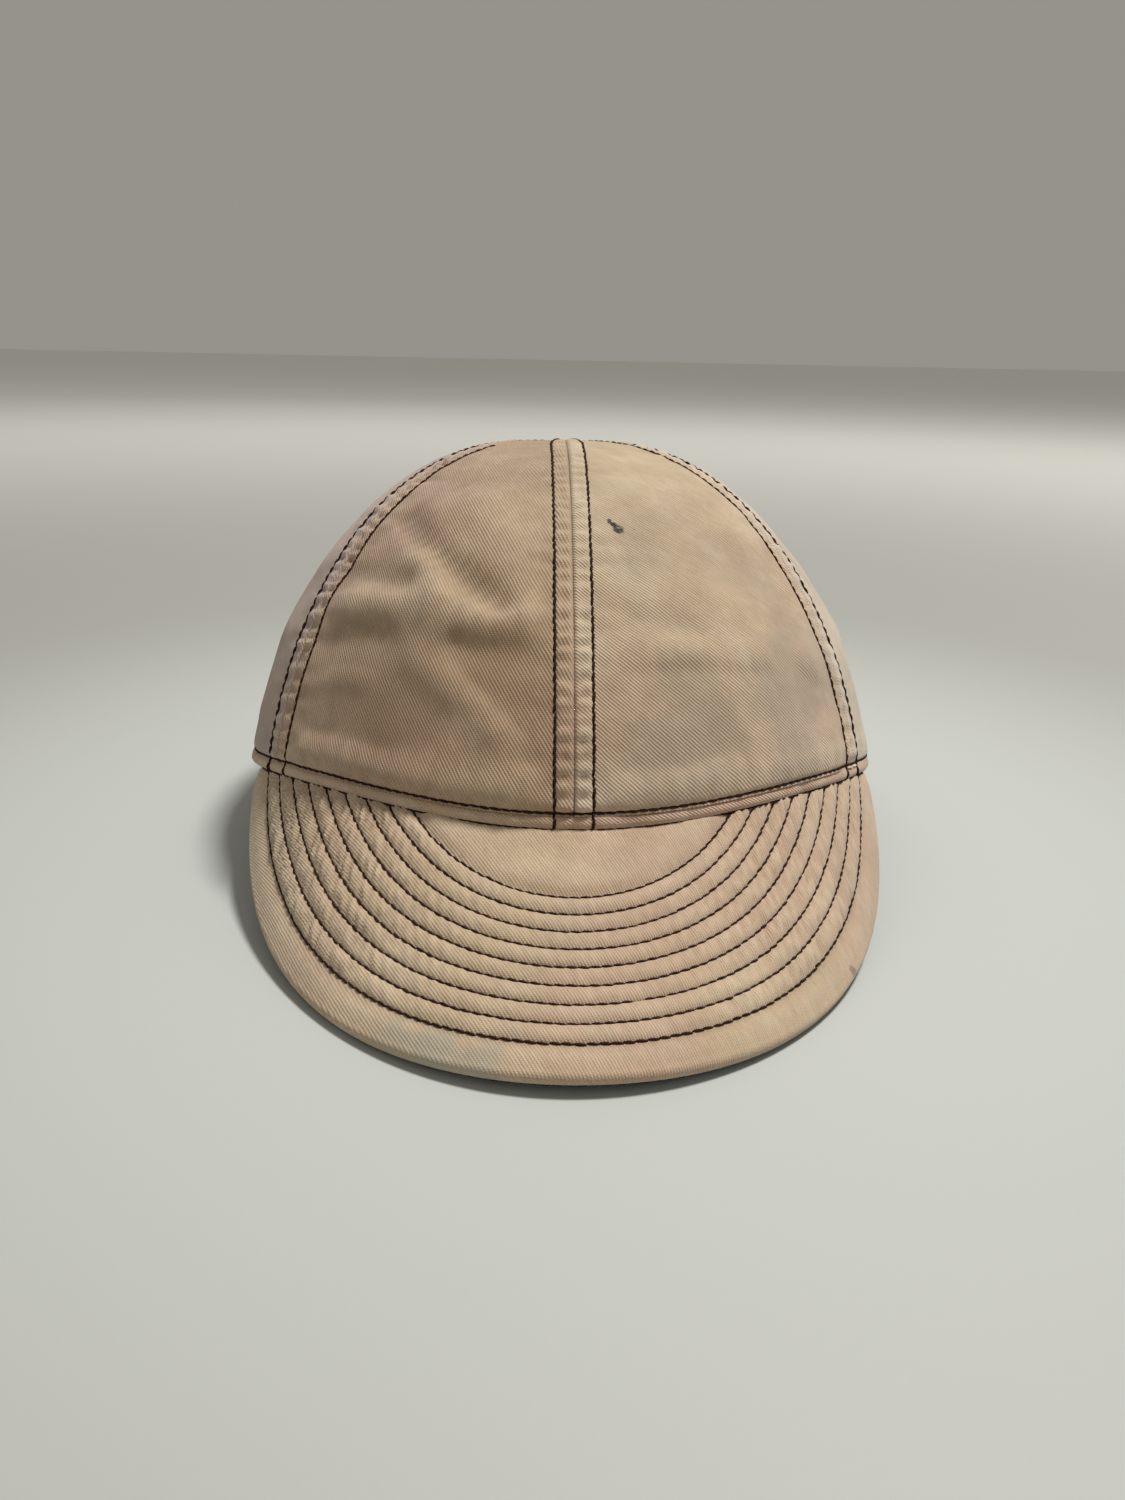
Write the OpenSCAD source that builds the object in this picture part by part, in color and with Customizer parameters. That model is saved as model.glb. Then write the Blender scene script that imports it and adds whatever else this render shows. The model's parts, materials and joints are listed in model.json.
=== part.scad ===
// Bump cap: a six-panel cloth cap with a stitched brim, a rear strap and a removable insert.
// The cap frame has the hem in the plane z = 0 and the brim towards -Y. The whole cap is then
// pitched back, as it stands on a table: on the brim's front edge and on the back of the hem.

/* [Head opening] */
// Half of the opening's width, middle to side
half_w = 90; // [84:1:94]
// Half of the opening's length, middle to front
half_l = 101; // [96:1:106]
// Rise of the hem between the front seam and the sides
hem_wave = 4.2; // [0:0.2:5]

/* [Crown] */
// Height of the crown above the hem
crown_h = 92; // [84:1:110]
// How far the point where the seams meet lies behind the middle
apex_back = 7; // [0:1:12]
// How soon the crown closes towards the top
close_power = 0.8; // [0.7:0.05:1]
// How slowly the crown rises from the hem
rise_power = 1.28; // [1:0.02:1.4]
// Azimuth of the seam between the front and the side panels, degrees from the front
side_seam = 54.5; // [50:0.5:60]
// Thickness of the crown cloth
cloth_t = 1; // [0.6:0.1:1.2]

/* [Brim] */
// Half of the brim's width
brim_half_w = 84.5; // [82:0.5:88]
// Distance from the brim's widest line to its front edge
brim_l = 113; // [105:1:120]
// How far forward of the middle the brim is widest
brim_wide_y = 33; // [30:1:40]
// Fall of the brim at the front, as a tangent
brim_fall = 0.82; // [0.3:0.02:0.9]
// Extra fall of the brim towards its sides, as a tangent
brim_curl = 1.49; // [0:0.01:1.5]
// Thickness of the finished brim
brim_t = 3.4; // [3.2:0.1:4]

/* [Rear opening and strap] */
// Half of the rear opening's angle, degrees
arch_half = 24; // [18:1:26]
// Height of the rear opening's top, as an angle up the crown
arch_top = 33; // [28:1:36]
// Height of the strap
strap_h = 18; // [14:1:20]

/* [Insert] */
// Thickness of the moulded shell
shell_t = 1.8; // [1.5:0.1:2]
// Thickness of the foam pads
pad_t = 5; // [3:0.5:6]
// Length of a vent slot
vent_l = 20; // [12:1:24]
// Width of a vent slot
vent_w = 7; // [5:0.5:9]

/* [Stand on a table] */
// How far the cap leans back, degrees
lean = 9.7; // [9:0.1:11]
// Height of the middle of the hem plane above the table
stand_z = 15.8; // [12:0.1:20]
// Forward offset that centres the cap over the origin
stand_y = 22.2; // [16:0.1:28]

/* [Hidden] */

// The layers of the crown, as depths below its outer face
band_h = 3;
band_proud = 0.5;
tape_k = [1.25, 1.65];
sweatband_k = [1.85, 2.6];
trim_wall = 0.5;
trim_gap = 0.15;
shell_k = 3.8;
pad_k = shell_k + shell_t + 0.25;

// Angles up the crown, from 0 at the hem to 90 at the top
panel_foot = asin(pow(band_h / crown_h, 1 / rise_power));
sweatband_top = 25;
tape_top = 84;
tape_w = 12;
back_seam = 180 - side_seam;

// Height of the hem at azimuth t: it rises a little on each side of the front seam
function hem_z(t) = cos(t) > 0 ? hem_wave * pow(sin(2 * t), 2) : 0;

// A point on the crown: azimuth t from the front, angle w up the crown, depth k below its face
function crown_pt(t, w, k) =
    let (g = pow(cos(w), close_power), h = pow(sin(w), rise_power))
    [(half_w - k) * sin(t) * g,
     -(half_l - k) * cos(t) * g + apex_back * pow(sin(w), 2),
     hem_z(t) * (1 - h) + (crown_h - k) * h];

// A point beside the hem at height z above it
function hem_pt(t, z, k) = [(half_w - k) * sin(t), -(half_l - k) * cos(t), hem_z(t) + z];

// The angle up the crown that reaches height z, at depth k
function angle_at(z, k) = asin(pow(z / (crown_h - k), 1 / rise_power));

function span(a, b, n) = [for (i = [0 : n]) a + (b - a) * i / n];
function unit(v) = v / norm(v);

// ---- solids between two grids of points ----

// Two triangles over the corners a, b, c, d of a cell
function cell(a, b, c, d) = [[a, d, c], [a, c, b]];

// A closed solid between an outer and an inner grid of rows, each a list of columns. With ring,
// the last column joins the first. With tips, the grids close to one point each.
module grid_solid(outer, inner, ring = false, tips = []) {
    rows = len(outer);
    cols = len(outer[0]);
    half = rows * cols;
    last = ring ? cols - 1 : cols - 2;
    tip_o = 2 * half;
    tip_i = 2 * half + 1;
    function o(i, j) = i * cols + j % cols;
    function n(i, j) = half + o(i, j);
    points = concat([for (r = outer) each r], [for (r = inner) each r], tips);
    skin = [for (i = [0 : rows - 2], j = [0 : last])
        each concat(cell(o(i, j), o(i, j + 1), o(i + 1, j + 1), o(i + 1, j)),
                    cell(n(i, j + 1), n(i, j), n(i + 1, j), n(i + 1, j + 1)))];
    foot = [for (j = [0 : last]) each cell(n(0, j), n(0, j + 1), o(0, j + 1), o(0, j))];
    top = rows - 1;
    head = len(tips) == 0
        ? [for (j = [0 : last]) each cell(o(top, j), o(top, j + 1), n(top, j + 1), n(top, j))]
        : [for (j = [0 : last]) each [[o(top, j), tip_o, o(top, j + 1)],
                                      [n(top, j), n(top, j + 1), tip_i]]];
    ends = ring ? [] : [for (i = [0 : rows - 2])
        each concat(cell(n(i, 0), o(i, 0), o(i + 1, 0), n(i + 1, 0)),
                    cell(o(i, cols - 1), n(i, cols - 1), n(i + 1, cols - 1), o(i + 1, cols - 1)))];
    tip_ends = ring || len(tips) == 0 ? [] : concat(
        cell(n(top, 0), o(top, 0), tip_o, tip_i),
        cell(o(top, cols - 1), n(top, cols - 1), tip_i, tip_o));
    polyhedron(points, concat(skin, foot, head, ends, tip_ends), convexity = 6);
}

// A patch of the crown between the azimuths ts and the angles ws, from depth k0 to k1
module crown_patch(ts, ws, k0, k1) {
    grid_solid([for (w = ws) [for (t = ts) crown_pt(t, w, k0)]],
               [for (w = ws) [for (t = ts) crown_pt(t, w, k1)]]);
}

// Stands the cap on the table, from the cap frame
module stood() {
    translate([0, stand_y, stand_z]) rotate([-lean, 0, 0]) children();
}

// ---- crown ----

cloth_colour = [0.80, 0.70, 0.59];
side_colour = [0.75, 0.68, 0.61];

// Foot of a panel at azimuth t: the band's top, or the rear opening's arch
function foot_angle(t) =
    let (d = abs(t - 180) / arch_half)
    d >= 1 ? panel_foot : panel_foot + (arch_top - panel_foot) * sqrt(1 - d * d);

// One panel from azimuth ts[0] to its last, closing at the top of the crown
module panel(ts, rows = 14) {
    last_w = 86;
    function w_at(t, i) = foot_angle(t) + (last_w - foot_angle(t)) * i / rows;
    grid_solid([for (i = [0 : rows]) [for (t = ts) crown_pt(t, w_at(t, i), 0)]],
               [for (i = [0 : rows]) [for (t = ts) crown_pt(t, w_at(t, i), cloth_t)]],
               tips = [crown_pt(0, 90, 0), crown_pt(0, 90, cloth_t)]);
}

module mirror_x(flip) {
    mirror([flip ? 1 : 0, 0, 0]) children();
}

module front_panel() {
    panel(span(0, side_seam, 10));
}

module side_panel() {
    panel(span(side_seam, back_seam, 12));
}

// The columns crowd towards the foot of the arch, where it stands upright
arch_columns = [for (a = span(0, 90, 9)) 180 - arch_half * cos(a)];

module back_panel() {
    panel(concat(span(back_seam, 180 - arch_half - 3, 5), arch_columns));
}

// The narrow rolled band round the lower edge of the crown
module hem_band() {
    ts = span(-(180 - arch_half - 0.1), 180 - arch_half - 0.1, 80);
    zs = [0.1, 0.7, 2.2, 2.75];
    outer_k = [0, -band_proud, -band_proud, 0];
    color(cloth_colour) stood()
        grid_solid([for (i = [0 : 3]) [for (t = ts) hem_pt(t, zs[i], outer_k[i])]],
                   [for (i = [0 : 3]) [for (t = ts) hem_pt(t, zs[i], 1.4)]]);
}

module sweatband() {
    ends = 180 - arch_half - 2;
    color([0.62, 0.55, 0.47]) stood()
        crown_patch(span(-ends, ends, 56), span(1, sweatband_top, 5),
                    sweatband_k[0], sweatband_k[1]);
}

// A strip of tape inside the seam at azimuth t, from angle w0 to tape_top
module tape_strip(t, w0) {
    ws = span(w0, tape_top, 14);
    function spread(w) = asin(tape_w / 2 / (half_w * pow(cos(w), close_power)));
    function row(w, k) = [for (s = [-1, 0, 1]) crown_pt(t + s * spread(w), w, k)];
    grid_solid([for (w = ws) row(w, tape_k[0])], [for (w = ws) row(w, tape_k[1])]);
}

// One tape covers a front seam and the seam opposite it
module seam_tape(t_front, t_back, w_back) {
    color([0.72, 0.66, 0.56]) stood() {
        tape_strip(t_front, panel_foot);
        tape_strip(t_back, w_back);
    }
}

// ---- brim ----

// Fall of the brim at azimuth t, as a tangent
function fall(t) = brim_fall + brim_curl * pow(sin(t), 2);

// A point on the brim's top face: e is 1 at the hem and grows outwards
function brim_pt(t, e) = [half_w * sin(t) * e, -half_l * cos(t) * e,
    hem_z(t) - half_l * max(0, e - 1) * fall(t)];

// Where the brim's elliptical outline crosses the ray at azimuth t
function brim_reach(t) =
    let (u = half_w * sin(t) / brim_half_w, v = half_l * cos(t) / brim_l, c = brim_wide_y / brim_l,
         aa = u * u + v * v, bb = -2 * v * c, cc = c * c - 1)
    (-bb + sqrt(bb * bb - 4 * aa * cc)) / (2 * aa);

brim_corner = 64;
brim_root_e = 1 - 1.1 / half_w;
edge_r = brim_t / 2;
brim_columns = span(brim_corner, -brim_corner, 40);
brim_rows = [0, 0.12, 0.28, 0.46, 0.64, 0.82, 1];

// Outward direction in the brim's face, and its upward normal
function brim_out(t, e) = unit(brim_pt(t, max(e, 1) + 0.01) - brim_pt(t, max(e, 1)));
function brim_up(t, e) =
    unit(cross(brim_pt(t + 0.5, max(e, 1) + 0.001) - brim_pt(t - 0.5, max(e, 1) + 0.001),
               -brim_out(t, e)));
// Row s of column t, sunk by depth d below the top face; upright at the root
function brim_row(t, s, d) =
    let (e1 = brim_reach(t) - edge_r / norm([half_w * sin(t), half_l * cos(t), half_l * fall(t)]),
         e = brim_root_e + (e1 - brim_root_e) * s, m = min(1, 4 * s),
         up = unit(brim_up(t, e) * m + [0, 0, 1] * (1 - m)))
    brim_pt(t, e) - d * up;
// A point at radius r and angle a of the rolled edge
function brim_roll(t, r, a) =
    let (e1 = brim_reach(t) - edge_r / norm([half_w * sin(t), half_l * cos(t), half_l * fall(t)]))
    brim_row(t, 1, edge_r) + r * (brim_out(t, e1) * cos(a) + brim_up(t, e1) * sin(a));

brim_cloth_t = 0.8;

// The top cloth lies on the board and rolls over its edge
module brim_top_cloth() {
    roll = [60, 30, 0, -30, -60, -90];
    function face(d) = [for (s = brim_rows) [for (t = brim_columns) brim_row(t, s, d)]];
    function lip(r) = [for (a = roll) [for (t = brim_columns) brim_roll(t, r, a)]];
    color([0.81, 0.69, 0.60]) stood()
        grid_solid(concat(face(0), lip(edge_r)),
                   concat(face(brim_cloth_t), lip(edge_r - brim_cloth_t)));
}

// The stiff board between the two cloths, with a rounded edge
module brim_board() {
    top_d = brim_cloth_t + 0.12;
    low_d = brim_t - brim_cloth_t - 0.12;
    function edge(a) = [[for (t = brim_columns) brim_roll(t, edge_r - top_d, a)]];
    function face(d) = [for (s = brim_rows) [for (t = brim_columns) brim_row(t, s, d)]];
    color([0.55, 0.50, 0.42]) stood()
        grid_solid(concat(face(top_d), edge(50), edge(12)), concat(face(low_d), edge(-50), edge(-12)));
}

module brim_under_cloth() {
    function face(d) = [for (s = brim_rows) [for (t = brim_columns) brim_row(t, s * 0.97, d)]];
    color([0.72, 0.72, 0.70]) stood() grid_solid(face(brim_t - brim_cloth_t), face(brim_t));
}

// ---- rear opening and strap ----

// The binding round the rear opening's arch and down its two legs
module back_opening_binding() {
    inset_t = 1.7;
    inset_w = 2;
    as = concat([0], span(0, 180, 18), [180]);
    // The first and last columns go down to the hem plane
    function w_low(j) = (j == 0 || j == len(as) - 1) ? 0.4 : panel_foot;
    function at(j, f, k) = let (a = as[j])
        crown_pt(180 - (arch_half - inset_t * f) * cos(a),
                 w_low(j) + (arch_top - inset_w * f - panel_foot) * sin(a), k);
    fs = [1, 0.85, 0.5, 0.06];
    outer_k = [0.3, -0.3, -band_proud, -band_proud];
    inner_k = [0.7, 1.3, 1.5, 1.5];
    cols = [0 : len(as) - 1];
    color(cloth_colour) stood()
        grid_solid([for (i = [0 : 3]) [for (j = cols) at(j, fs[i], outer_k[i])]],
                   [for (i = [0 : 3]) [for (j = cols) at(j, fs[i], inner_k[i])]]);
}

// The strap's parts lie on a cone round the back of the hem
cone_r = half_w * half_w / half_l + 0.4;
cone_y = half_l - half_w * half_w / half_l;
cone_lean = 0.12;
strap_z = 4;
tab_off = [0.9, 1.7];
hook_off = [1.7, 2.3];
loop_off = [2.6, 3.1];
strap_off = [3.1, 4.1];

// A curved strip on the cone, from angle a0 to a1 measured round from +X
module cone_strip(off, a0, a1, z0, h) {
    r0 = cone_r - cone_lean * z0;
    translate([0, cone_y, 0]) rotate([0, 0, a0]) rotate_extrude(angle = a1 - a0, $fn = 180)
        polygon([[r0 + off[0], z0], [r0 + off[1], z0],
                 [r0 - cone_lean * h + off[1], z0 + h], [r0 - cone_lean * h + off[0], z0 + h]]);
}

strap_fold = 59;

module strap_anchor_tab() {
    color(cloth_colour) stood() cone_strip(tab_off, 86, 130, strap_z, strap_h);
}

module hook_patch() {
    color([0.25, 0.24, 0.22]) stood() cone_strip(hook_off, 88, 112, strap_z + 1.5, strap_h - 3);
}

module strap_sewn_end() {
    color(cloth_colour) stood()
        cone_strip([tab_off[0], strap_off[1]], strap_fold - 8, strap_fold - 0.3, strap_z, strap_h);
}

module adjuster_strap() {
    color(cloth_colour) stood() cone_strip(strap_off, strap_fold, 113, strap_z, strap_h);
}

module loop_patch() {
    color([0.35, 0.33, 0.30]) stood() cone_strip(loop_off, 86, 111, strap_z + 1.5, strap_h - 3);
}

// ---- insert ----

// Lower edge of the insert at azimuth t, higher over the ears and the rear opening
function insert_z(t) = 26 + 10 * (1 - cos(t)) + 6 * pow(sin(t), 2);
function insert_foot(t) = angle_at(insert_z(t), shell_k);

ring_columns = [for (i = [0 : 71]) 5 * i];

// A slot cut square to the shell at azimuth t and angle w
module vent(t, w) {
    p = crown_pt(t, w, shell_k + shell_t / 2);
    across = crown_pt(t + 0.5, w, shell_k) - crown_pt(t - 0.5, w, shell_k);
    along = crown_pt(t, w + 0.5, shell_k) - crown_pt(t, w - 0.5, shell_k);
    n = unit(cross(across, along));
    depth = 12;
    translate(p) rotate([0, acos(n[2]), atan2(n[1], n[0])]) {
        cube([vent_l - vent_w, vent_w, depth], center = true);
        for (s = [-1, 1])
            translate([s * (vent_l - vent_w) / 2, 0, 0])
                cylinder(d = vent_w, h = depth, center = true, $fn = 32);
    }
}

module insert_shell() {
    rows = 9;
    last_w = 85;
    function w_at(t, i) = insert_foot(t) + (last_w - insert_foot(t)) * i / rows;
    k1 = shell_k + shell_t;
    color([0.16, 0.16, 0.17]) stood() difference() {
        grid_solid([for (i = [0 : rows]) [for (t = ring_columns) crown_pt(t, w_at(t, i), shell_k)]],
                   [for (i = [0 : rows]) [for (t = ring_columns) crown_pt(t, w_at(t, i), k1)]],
                   ring = true, tips = [crown_pt(0, 90, shell_k), crown_pt(0, 90, k1)]);
        for (t = [-132, -48, -18, 18, 48, 132]) vent(t, 57);
    }
}

// A soft channel that wraps the shell's lower edge
module shell_edge_trim() {
    a = shell_k - trim_gap;
    b = shell_k + shell_t + trim_gap;
    k0 = a - trim_wall;
    k1 = b + trim_wall;
    // Depth, and angle past the shell's foot, of each row outside and in the slot
    outside = [[k0, 3], [k0, 1.2], [k0, -0.5], [k0 + 0.4, -1],
               [k1 - 0.4, -1], [k1, -0.5], [k1, 1.2], [k1, 3]];
    slot = [[a, 3], [a, 1.2], [a, 0], [a, -0.2], [b, -0.2], [b, 0], [b, 1.2], [b, 3]];
    function ring_of(r) = [for (t = ring_columns) crown_pt(t, insert_foot(t) + r[1], r[0])];
    color([0.30, 0.30, 0.30]) stood()
        grid_solid([for (r = slot) ring_of(r)], [for (r = outside) ring_of(r)], ring = true);
}

// A pad between the azimuths t0 and t1, from the shell's edge up to angle w1
module edge_pad(t0, t1, w1) {
    function w_at(t, i) = insert_foot(t) + 4 + (w1 - insert_foot(t) - 4) * i / 5;
    ts = span(t0, t1, 10);
    color([0.20, 0.20, 0.22]) stood()
        grid_solid([for (i = [0 : 5]) [for (t = ts) crown_pt(t, w_at(t, i), pad_k)]],
                   [for (i = [0 : 5]) [for (t = ts) crown_pt(t, w_at(t, i), pad_k + pad_t)]]);
}

module crown_foam_pad() {
    ws = [66, 72, 79, 85];
    color([0.20, 0.20, 0.22]) stood()
        grid_solid([for (w = ws) [for (t = ring_columns) crown_pt(t, w, pad_k)]],
                   [for (w = ws) [for (t = ring_columns) crown_pt(t, w, pad_k + pad_t)]],
                   ring = true,
                   tips = [crown_pt(0, 90, pad_k), crown_pt(0, 90, pad_k + pad_t)]);
}

module front_panels(flip) {
    color(cloth_colour) stood() mirror_x(flip) front_panel();
}

module side_panels(flip) {
    color(side_colour) stood() mirror_x(flip) side_panel();
}

module back_panels(flip) {
    color(cloth_colour) stood() mirror_x(flip) back_panel();
}

front_panels(true);  // front_panel_left
front_panels(false);  // front_panel_right
side_panels(true);  // side_panel_left
side_panels(false);  // side_panel_right
back_panels(true);  // back_panel_left
back_panels(false);  // back_panel_right
hem_band();
sweatband();
seam_tape(0, 180, arch_top + 2);  // centre_seam_tape
seam_tape(-side_seam, back_seam, panel_foot);  // left_seam_tape
seam_tape(side_seam, -back_seam, panel_foot);  // right_seam_tape
brim_top_cloth();
brim_board();
brim_under_cloth();
back_opening_binding();
strap_anchor_tab();
hook_patch();
strap_sewn_end();
adjuster_strap();
loop_patch();
insert_shell();
shell_edge_trim();
crown_foam_pad();
edge_pad(-34, 34, 47);  // front_foam_pad
edge_pad(-116, -68, 58);  // left_foam_pad
edge_pad(68, 116, 58);  // right_foam_pad
edge_pad(152, 208, 60);  // rear_foam_pad
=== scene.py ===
"""Looks of the bump cap: its cloth, stitching, strap and insert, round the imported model."""
import json
import math

import bpy
import numpy as np
from mathutils import Matrix, Vector


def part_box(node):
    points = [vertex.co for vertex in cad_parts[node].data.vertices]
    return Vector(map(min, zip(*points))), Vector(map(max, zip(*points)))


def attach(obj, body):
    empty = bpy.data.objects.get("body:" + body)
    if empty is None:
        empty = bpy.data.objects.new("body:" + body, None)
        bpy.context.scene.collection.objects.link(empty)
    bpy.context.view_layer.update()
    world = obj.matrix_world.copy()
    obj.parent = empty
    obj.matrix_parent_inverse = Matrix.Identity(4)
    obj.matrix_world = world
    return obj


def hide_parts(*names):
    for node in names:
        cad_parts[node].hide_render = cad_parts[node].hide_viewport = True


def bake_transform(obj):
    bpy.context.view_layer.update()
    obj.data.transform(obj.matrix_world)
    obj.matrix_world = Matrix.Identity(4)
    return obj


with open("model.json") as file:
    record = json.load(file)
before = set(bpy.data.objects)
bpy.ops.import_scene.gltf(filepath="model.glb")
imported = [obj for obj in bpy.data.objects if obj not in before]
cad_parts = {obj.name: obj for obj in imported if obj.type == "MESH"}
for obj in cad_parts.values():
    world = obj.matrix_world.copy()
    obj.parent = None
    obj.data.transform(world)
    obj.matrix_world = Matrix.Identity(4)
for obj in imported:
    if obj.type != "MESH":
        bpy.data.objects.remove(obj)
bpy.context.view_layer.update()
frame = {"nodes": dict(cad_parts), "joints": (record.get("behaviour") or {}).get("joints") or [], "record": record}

record = frame["record"]
MM = 0.001

# ---- shape of the cap, in millimetres in the cap frame ----
# The hem lies in z = 0 and the brim points to -Y. t is the azimuth in degrees from the front,
# positive to +X, and w the angle up the crown, from 0 at the hem to 90 where the seams meet.

SLIDE = next(j for j in frame["joints"] if j["name"] == "insert_out")
LEAN = math.asin(-SLIDE["axis"][1])
STAND = [c / MM for c in record["mounts"][0]["pos_m"]]
HALF_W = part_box("hem_band")[1][0] / MM - 0.5
HALF_L, HEM_WAVE, CROWN_H, APEX_BACK = 101.0, 4.2, 92.0, 7.0
CLOSE_POWER, RISE_POWER = 0.8, 1.28
CROWN_TOP = 89.97  # the angle of the last row of points, just short of the apex
SIDE_SEAM = 54.5
BACK_SEAM = 180 - SIDE_SEAM
ARCH_HALF, ARCH_TOP = 24.0, 33.0
BAND_H = 3.0
BRIM_HALF_W, BRIM_L, BRIM_WIDE_Y = 84.5, 113.0, 33.0
BRIM_FALL, BRIM_CURL = 0.82, 1.49
BRIM_T, BRIM_CORNER, BRIM_ROOT_E = 3.4, 64.0, 1 - 1.1 / 90
REAR_R = 90.0 ** 2 / HALF_L  # how round the hem is at the back
CONE_R, CONE_Y, CONE_LEAN = REAR_R + 0.4, HALF_L - REAR_R, 0.12
STRAP_Z, STRAP_H = 4.0, 18.0
SHELL_K, SHELL_T, PAD_T = 3.8, 1.8, 5.0
VENTS = (-132, -48, -18, 18, 48, 132)
VENT_W, VENT_L, VENT_ANGLE = 7.0, 20.0, 57.0


def rad(a):
    return np.radians(a)


def unit(v):
    return v / np.maximum(np.linalg.norm(v, axis=-1, keepdims=True), 1e-12)


def joined(*parts):
    """Points from their coordinates."""
    return np.stack(np.broadcast_arrays(*parts), -1)


def step(a, b, x):
    """0 before a, 1 after b, smooth between."""
    f = np.clip((x - a) / (b - a), 0, 1)
    return f * f * (3 - 2 * f)


def bell(x, wide):
    return np.exp(-(x / wide) ** 2)


def hem_z(t):
    return np.where(np.cos(rad(t)) > 0, HEM_WAVE * np.sin(rad(2 * t)) ** 2, 0.0)


def crown(t, w, k=0.0):
    """A point of the crown at depth k below its outer face."""
    t, w, k = np.broadcast_arrays(np.asarray(t, float), w, k)
    g = np.clip(np.cos(rad(w)), 0, 1) ** CLOSE_POWER
    h = np.clip(np.sin(rad(w)), 0, 1) ** RISE_POWER
    return joined((HALF_W - k) * np.sin(rad(t)) * g,
                  -(HALF_L - k) * np.cos(rad(t)) * g + APEX_BACK * np.sin(rad(w)) ** 2,
                  hem_z(t) * (1 - h) + (CROWN_H - k) * h)


def crown_normal(t, w):
    w = np.clip(w, 0.6, 89.4)
    e = 0.2
    return unit(np.cross(crown(t + e, w) - crown(t - e, w), crown(t, w + e) - crown(t, w - e)))


def angle_at(z, k=0.0):
    return np.degrees(np.arcsin((z / (CROWN_H - k)) ** (1 / RISE_POWER)))


def turned(v):
    """A direction of the cap frame in the row frame."""
    c, s = math.cos(LEAN), math.sin(LEAN)
    x, y, z = v[..., 0], v[..., 1], v[..., 2]
    return joined(x, y * c + z * s, -y * s + z * c)


def stood(points):
    """From the cap frame in millimetres to the row frame in metres."""
    return (turned(np.asarray(points, float)) + STAND) * MM


# ---- camera ----

EYE = np.array([-11.1, -340.9, 60.2])
LOOK_DOWN, LOOK_RIGHT, ROLL = 10.0, 2.0, 0.81
LENS = 27.05


def linked(name, data):
    ob = bpy.data.objects.new(name, data)
    bpy.context.collection.objects.link(ob)
    return ob


def make_camera():
    cam = bpy.data.cameras.new("camera")
    cam.sensor_width, cam.sensor_fit, cam.lens = 36, "AUTO", LENS
    cam.clip_start, cam.clip_end = 0.01, 50
    ob = linked("camera", cam)
    e, y, r = rad(LOOK_DOWN), rad(LOOK_RIGHT), rad(ROLL)
    ahead = np.array([np.sin(y) * np.cos(e), np.cos(y) * np.cos(e), -np.sin(e)])
    right = np.array([np.cos(y), -np.sin(y), 0])
    up = np.cross(right, ahead)
    axes = [turned(right * np.cos(r) + up * np.sin(r)), turned(up * np.cos(r) - right * np.sin(r)),
            -turned(ahead), stood(EYE)]
    ob.matrix_world = Matrix([[axis[i] for axis in axes] for i in range(3)] + [[0, 0, 0, 1]])
    bpy.context.scene.camera = ob


make_camera()

# ---- seeded noise ----

RNG = np.random.default_rng(20)
LATTICE = RNG.random(8192) * 2 - 1
PRIMES = (73856093, 19349663, 83492791)


def noise(p, seed=0):
    """Smooth noise from -1 to 1 at the points p, whose lattice has a spacing of 1."""
    base = np.floor(p).astype(np.int64)
    f = p - base
    f = f * f * (3 - 2 * f)
    total = np.zeros(p.shape[:-1])
    dims = p.shape[-1]
    for corner in range(2 ** dims):
        weight, key = 1.0, np.full(p.shape[:-1], seed * 2654435761 % 1000003, np.int64)
        for d in range(dims):
            bit = corner >> d & 1
            weight = weight * (f[..., d] if bit else 1 - f[..., d])
            key = key ^ (base[..., d] + bit) * PRIMES[d]
        total += weight * LATTICE[key % len(LATTICE)]
    return total


def noise1(x, seed):
    return noise(np.asarray(x, float)[..., None], seed)


def noise2(x, y, seed):
    return noise(joined(x, y), seed)


# ---- meshes from grids ----


def mesh_object(name, verts, faces, attributes=None, sharp=50, body="cap"):
    mesh = bpy.data.meshes.new(name)
    mesh.from_pydata(stood(verts).tolist(), [], [list(map(int, f)) for f in faces])
    for key, values in (attributes or {}).items():
        values = np.asarray(values, np.float32)
        kind, field = ("FLOAT_VECTOR", "vector") if values.ndim == 2 else ("FLOAT", "value")
        mesh.attributes.new(key, kind, "POINT").data.foreach_set(field, values.ravel())
    mesh.polygons.foreach_set("use_smooth", [True] * len(mesh.polygons))
    if sharp:
        mesh.set_sharp_from_angle(angle=math.radians(sharp))
    ob = linked(name, mesh)
    if body:
        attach(ob, body)
    return ob


def finished(ob, material, replaces=()):
    ob.data.materials.append(material)
    if replaces:
        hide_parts(*replaces)
    return ob


def quads(rows, cols, ring=False, start=0, flip=False):
    i, j = np.meshgrid(np.arange(rows - 1), np.arange(cols if ring else cols - 1), indexing="ij")
    i, j = i.ravel() * cols + start, j.ravel()
    k = (j + 1) % cols
    f = joined(i + j, i + k, i + cols + k, i + cols + j)
    return f[:, ::-1] if flip else f


def border(rows, cols, ring):
    """Faces that join the rims of an outer grid to those of an inner one that follows it."""
    inner = rows * cols
    j = np.arange(cols if ring else cols - 1)
    k = (j + 1) % cols
    top = (rows - 1) * cols
    parts = [joined(j, inner + j, inner + k, k),
             joined(top + j, top + k, inner + top + k, inner + top + j)]
    if not ring:
        i = np.arange(rows - 1) * cols
        e = i + cols - 1
        parts += [joined(i, i + cols, inner + i + cols, inner + i),
                  joined(e, inner + e, inner + e + cols, e + cols)]
    return np.concatenate(parts)


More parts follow.
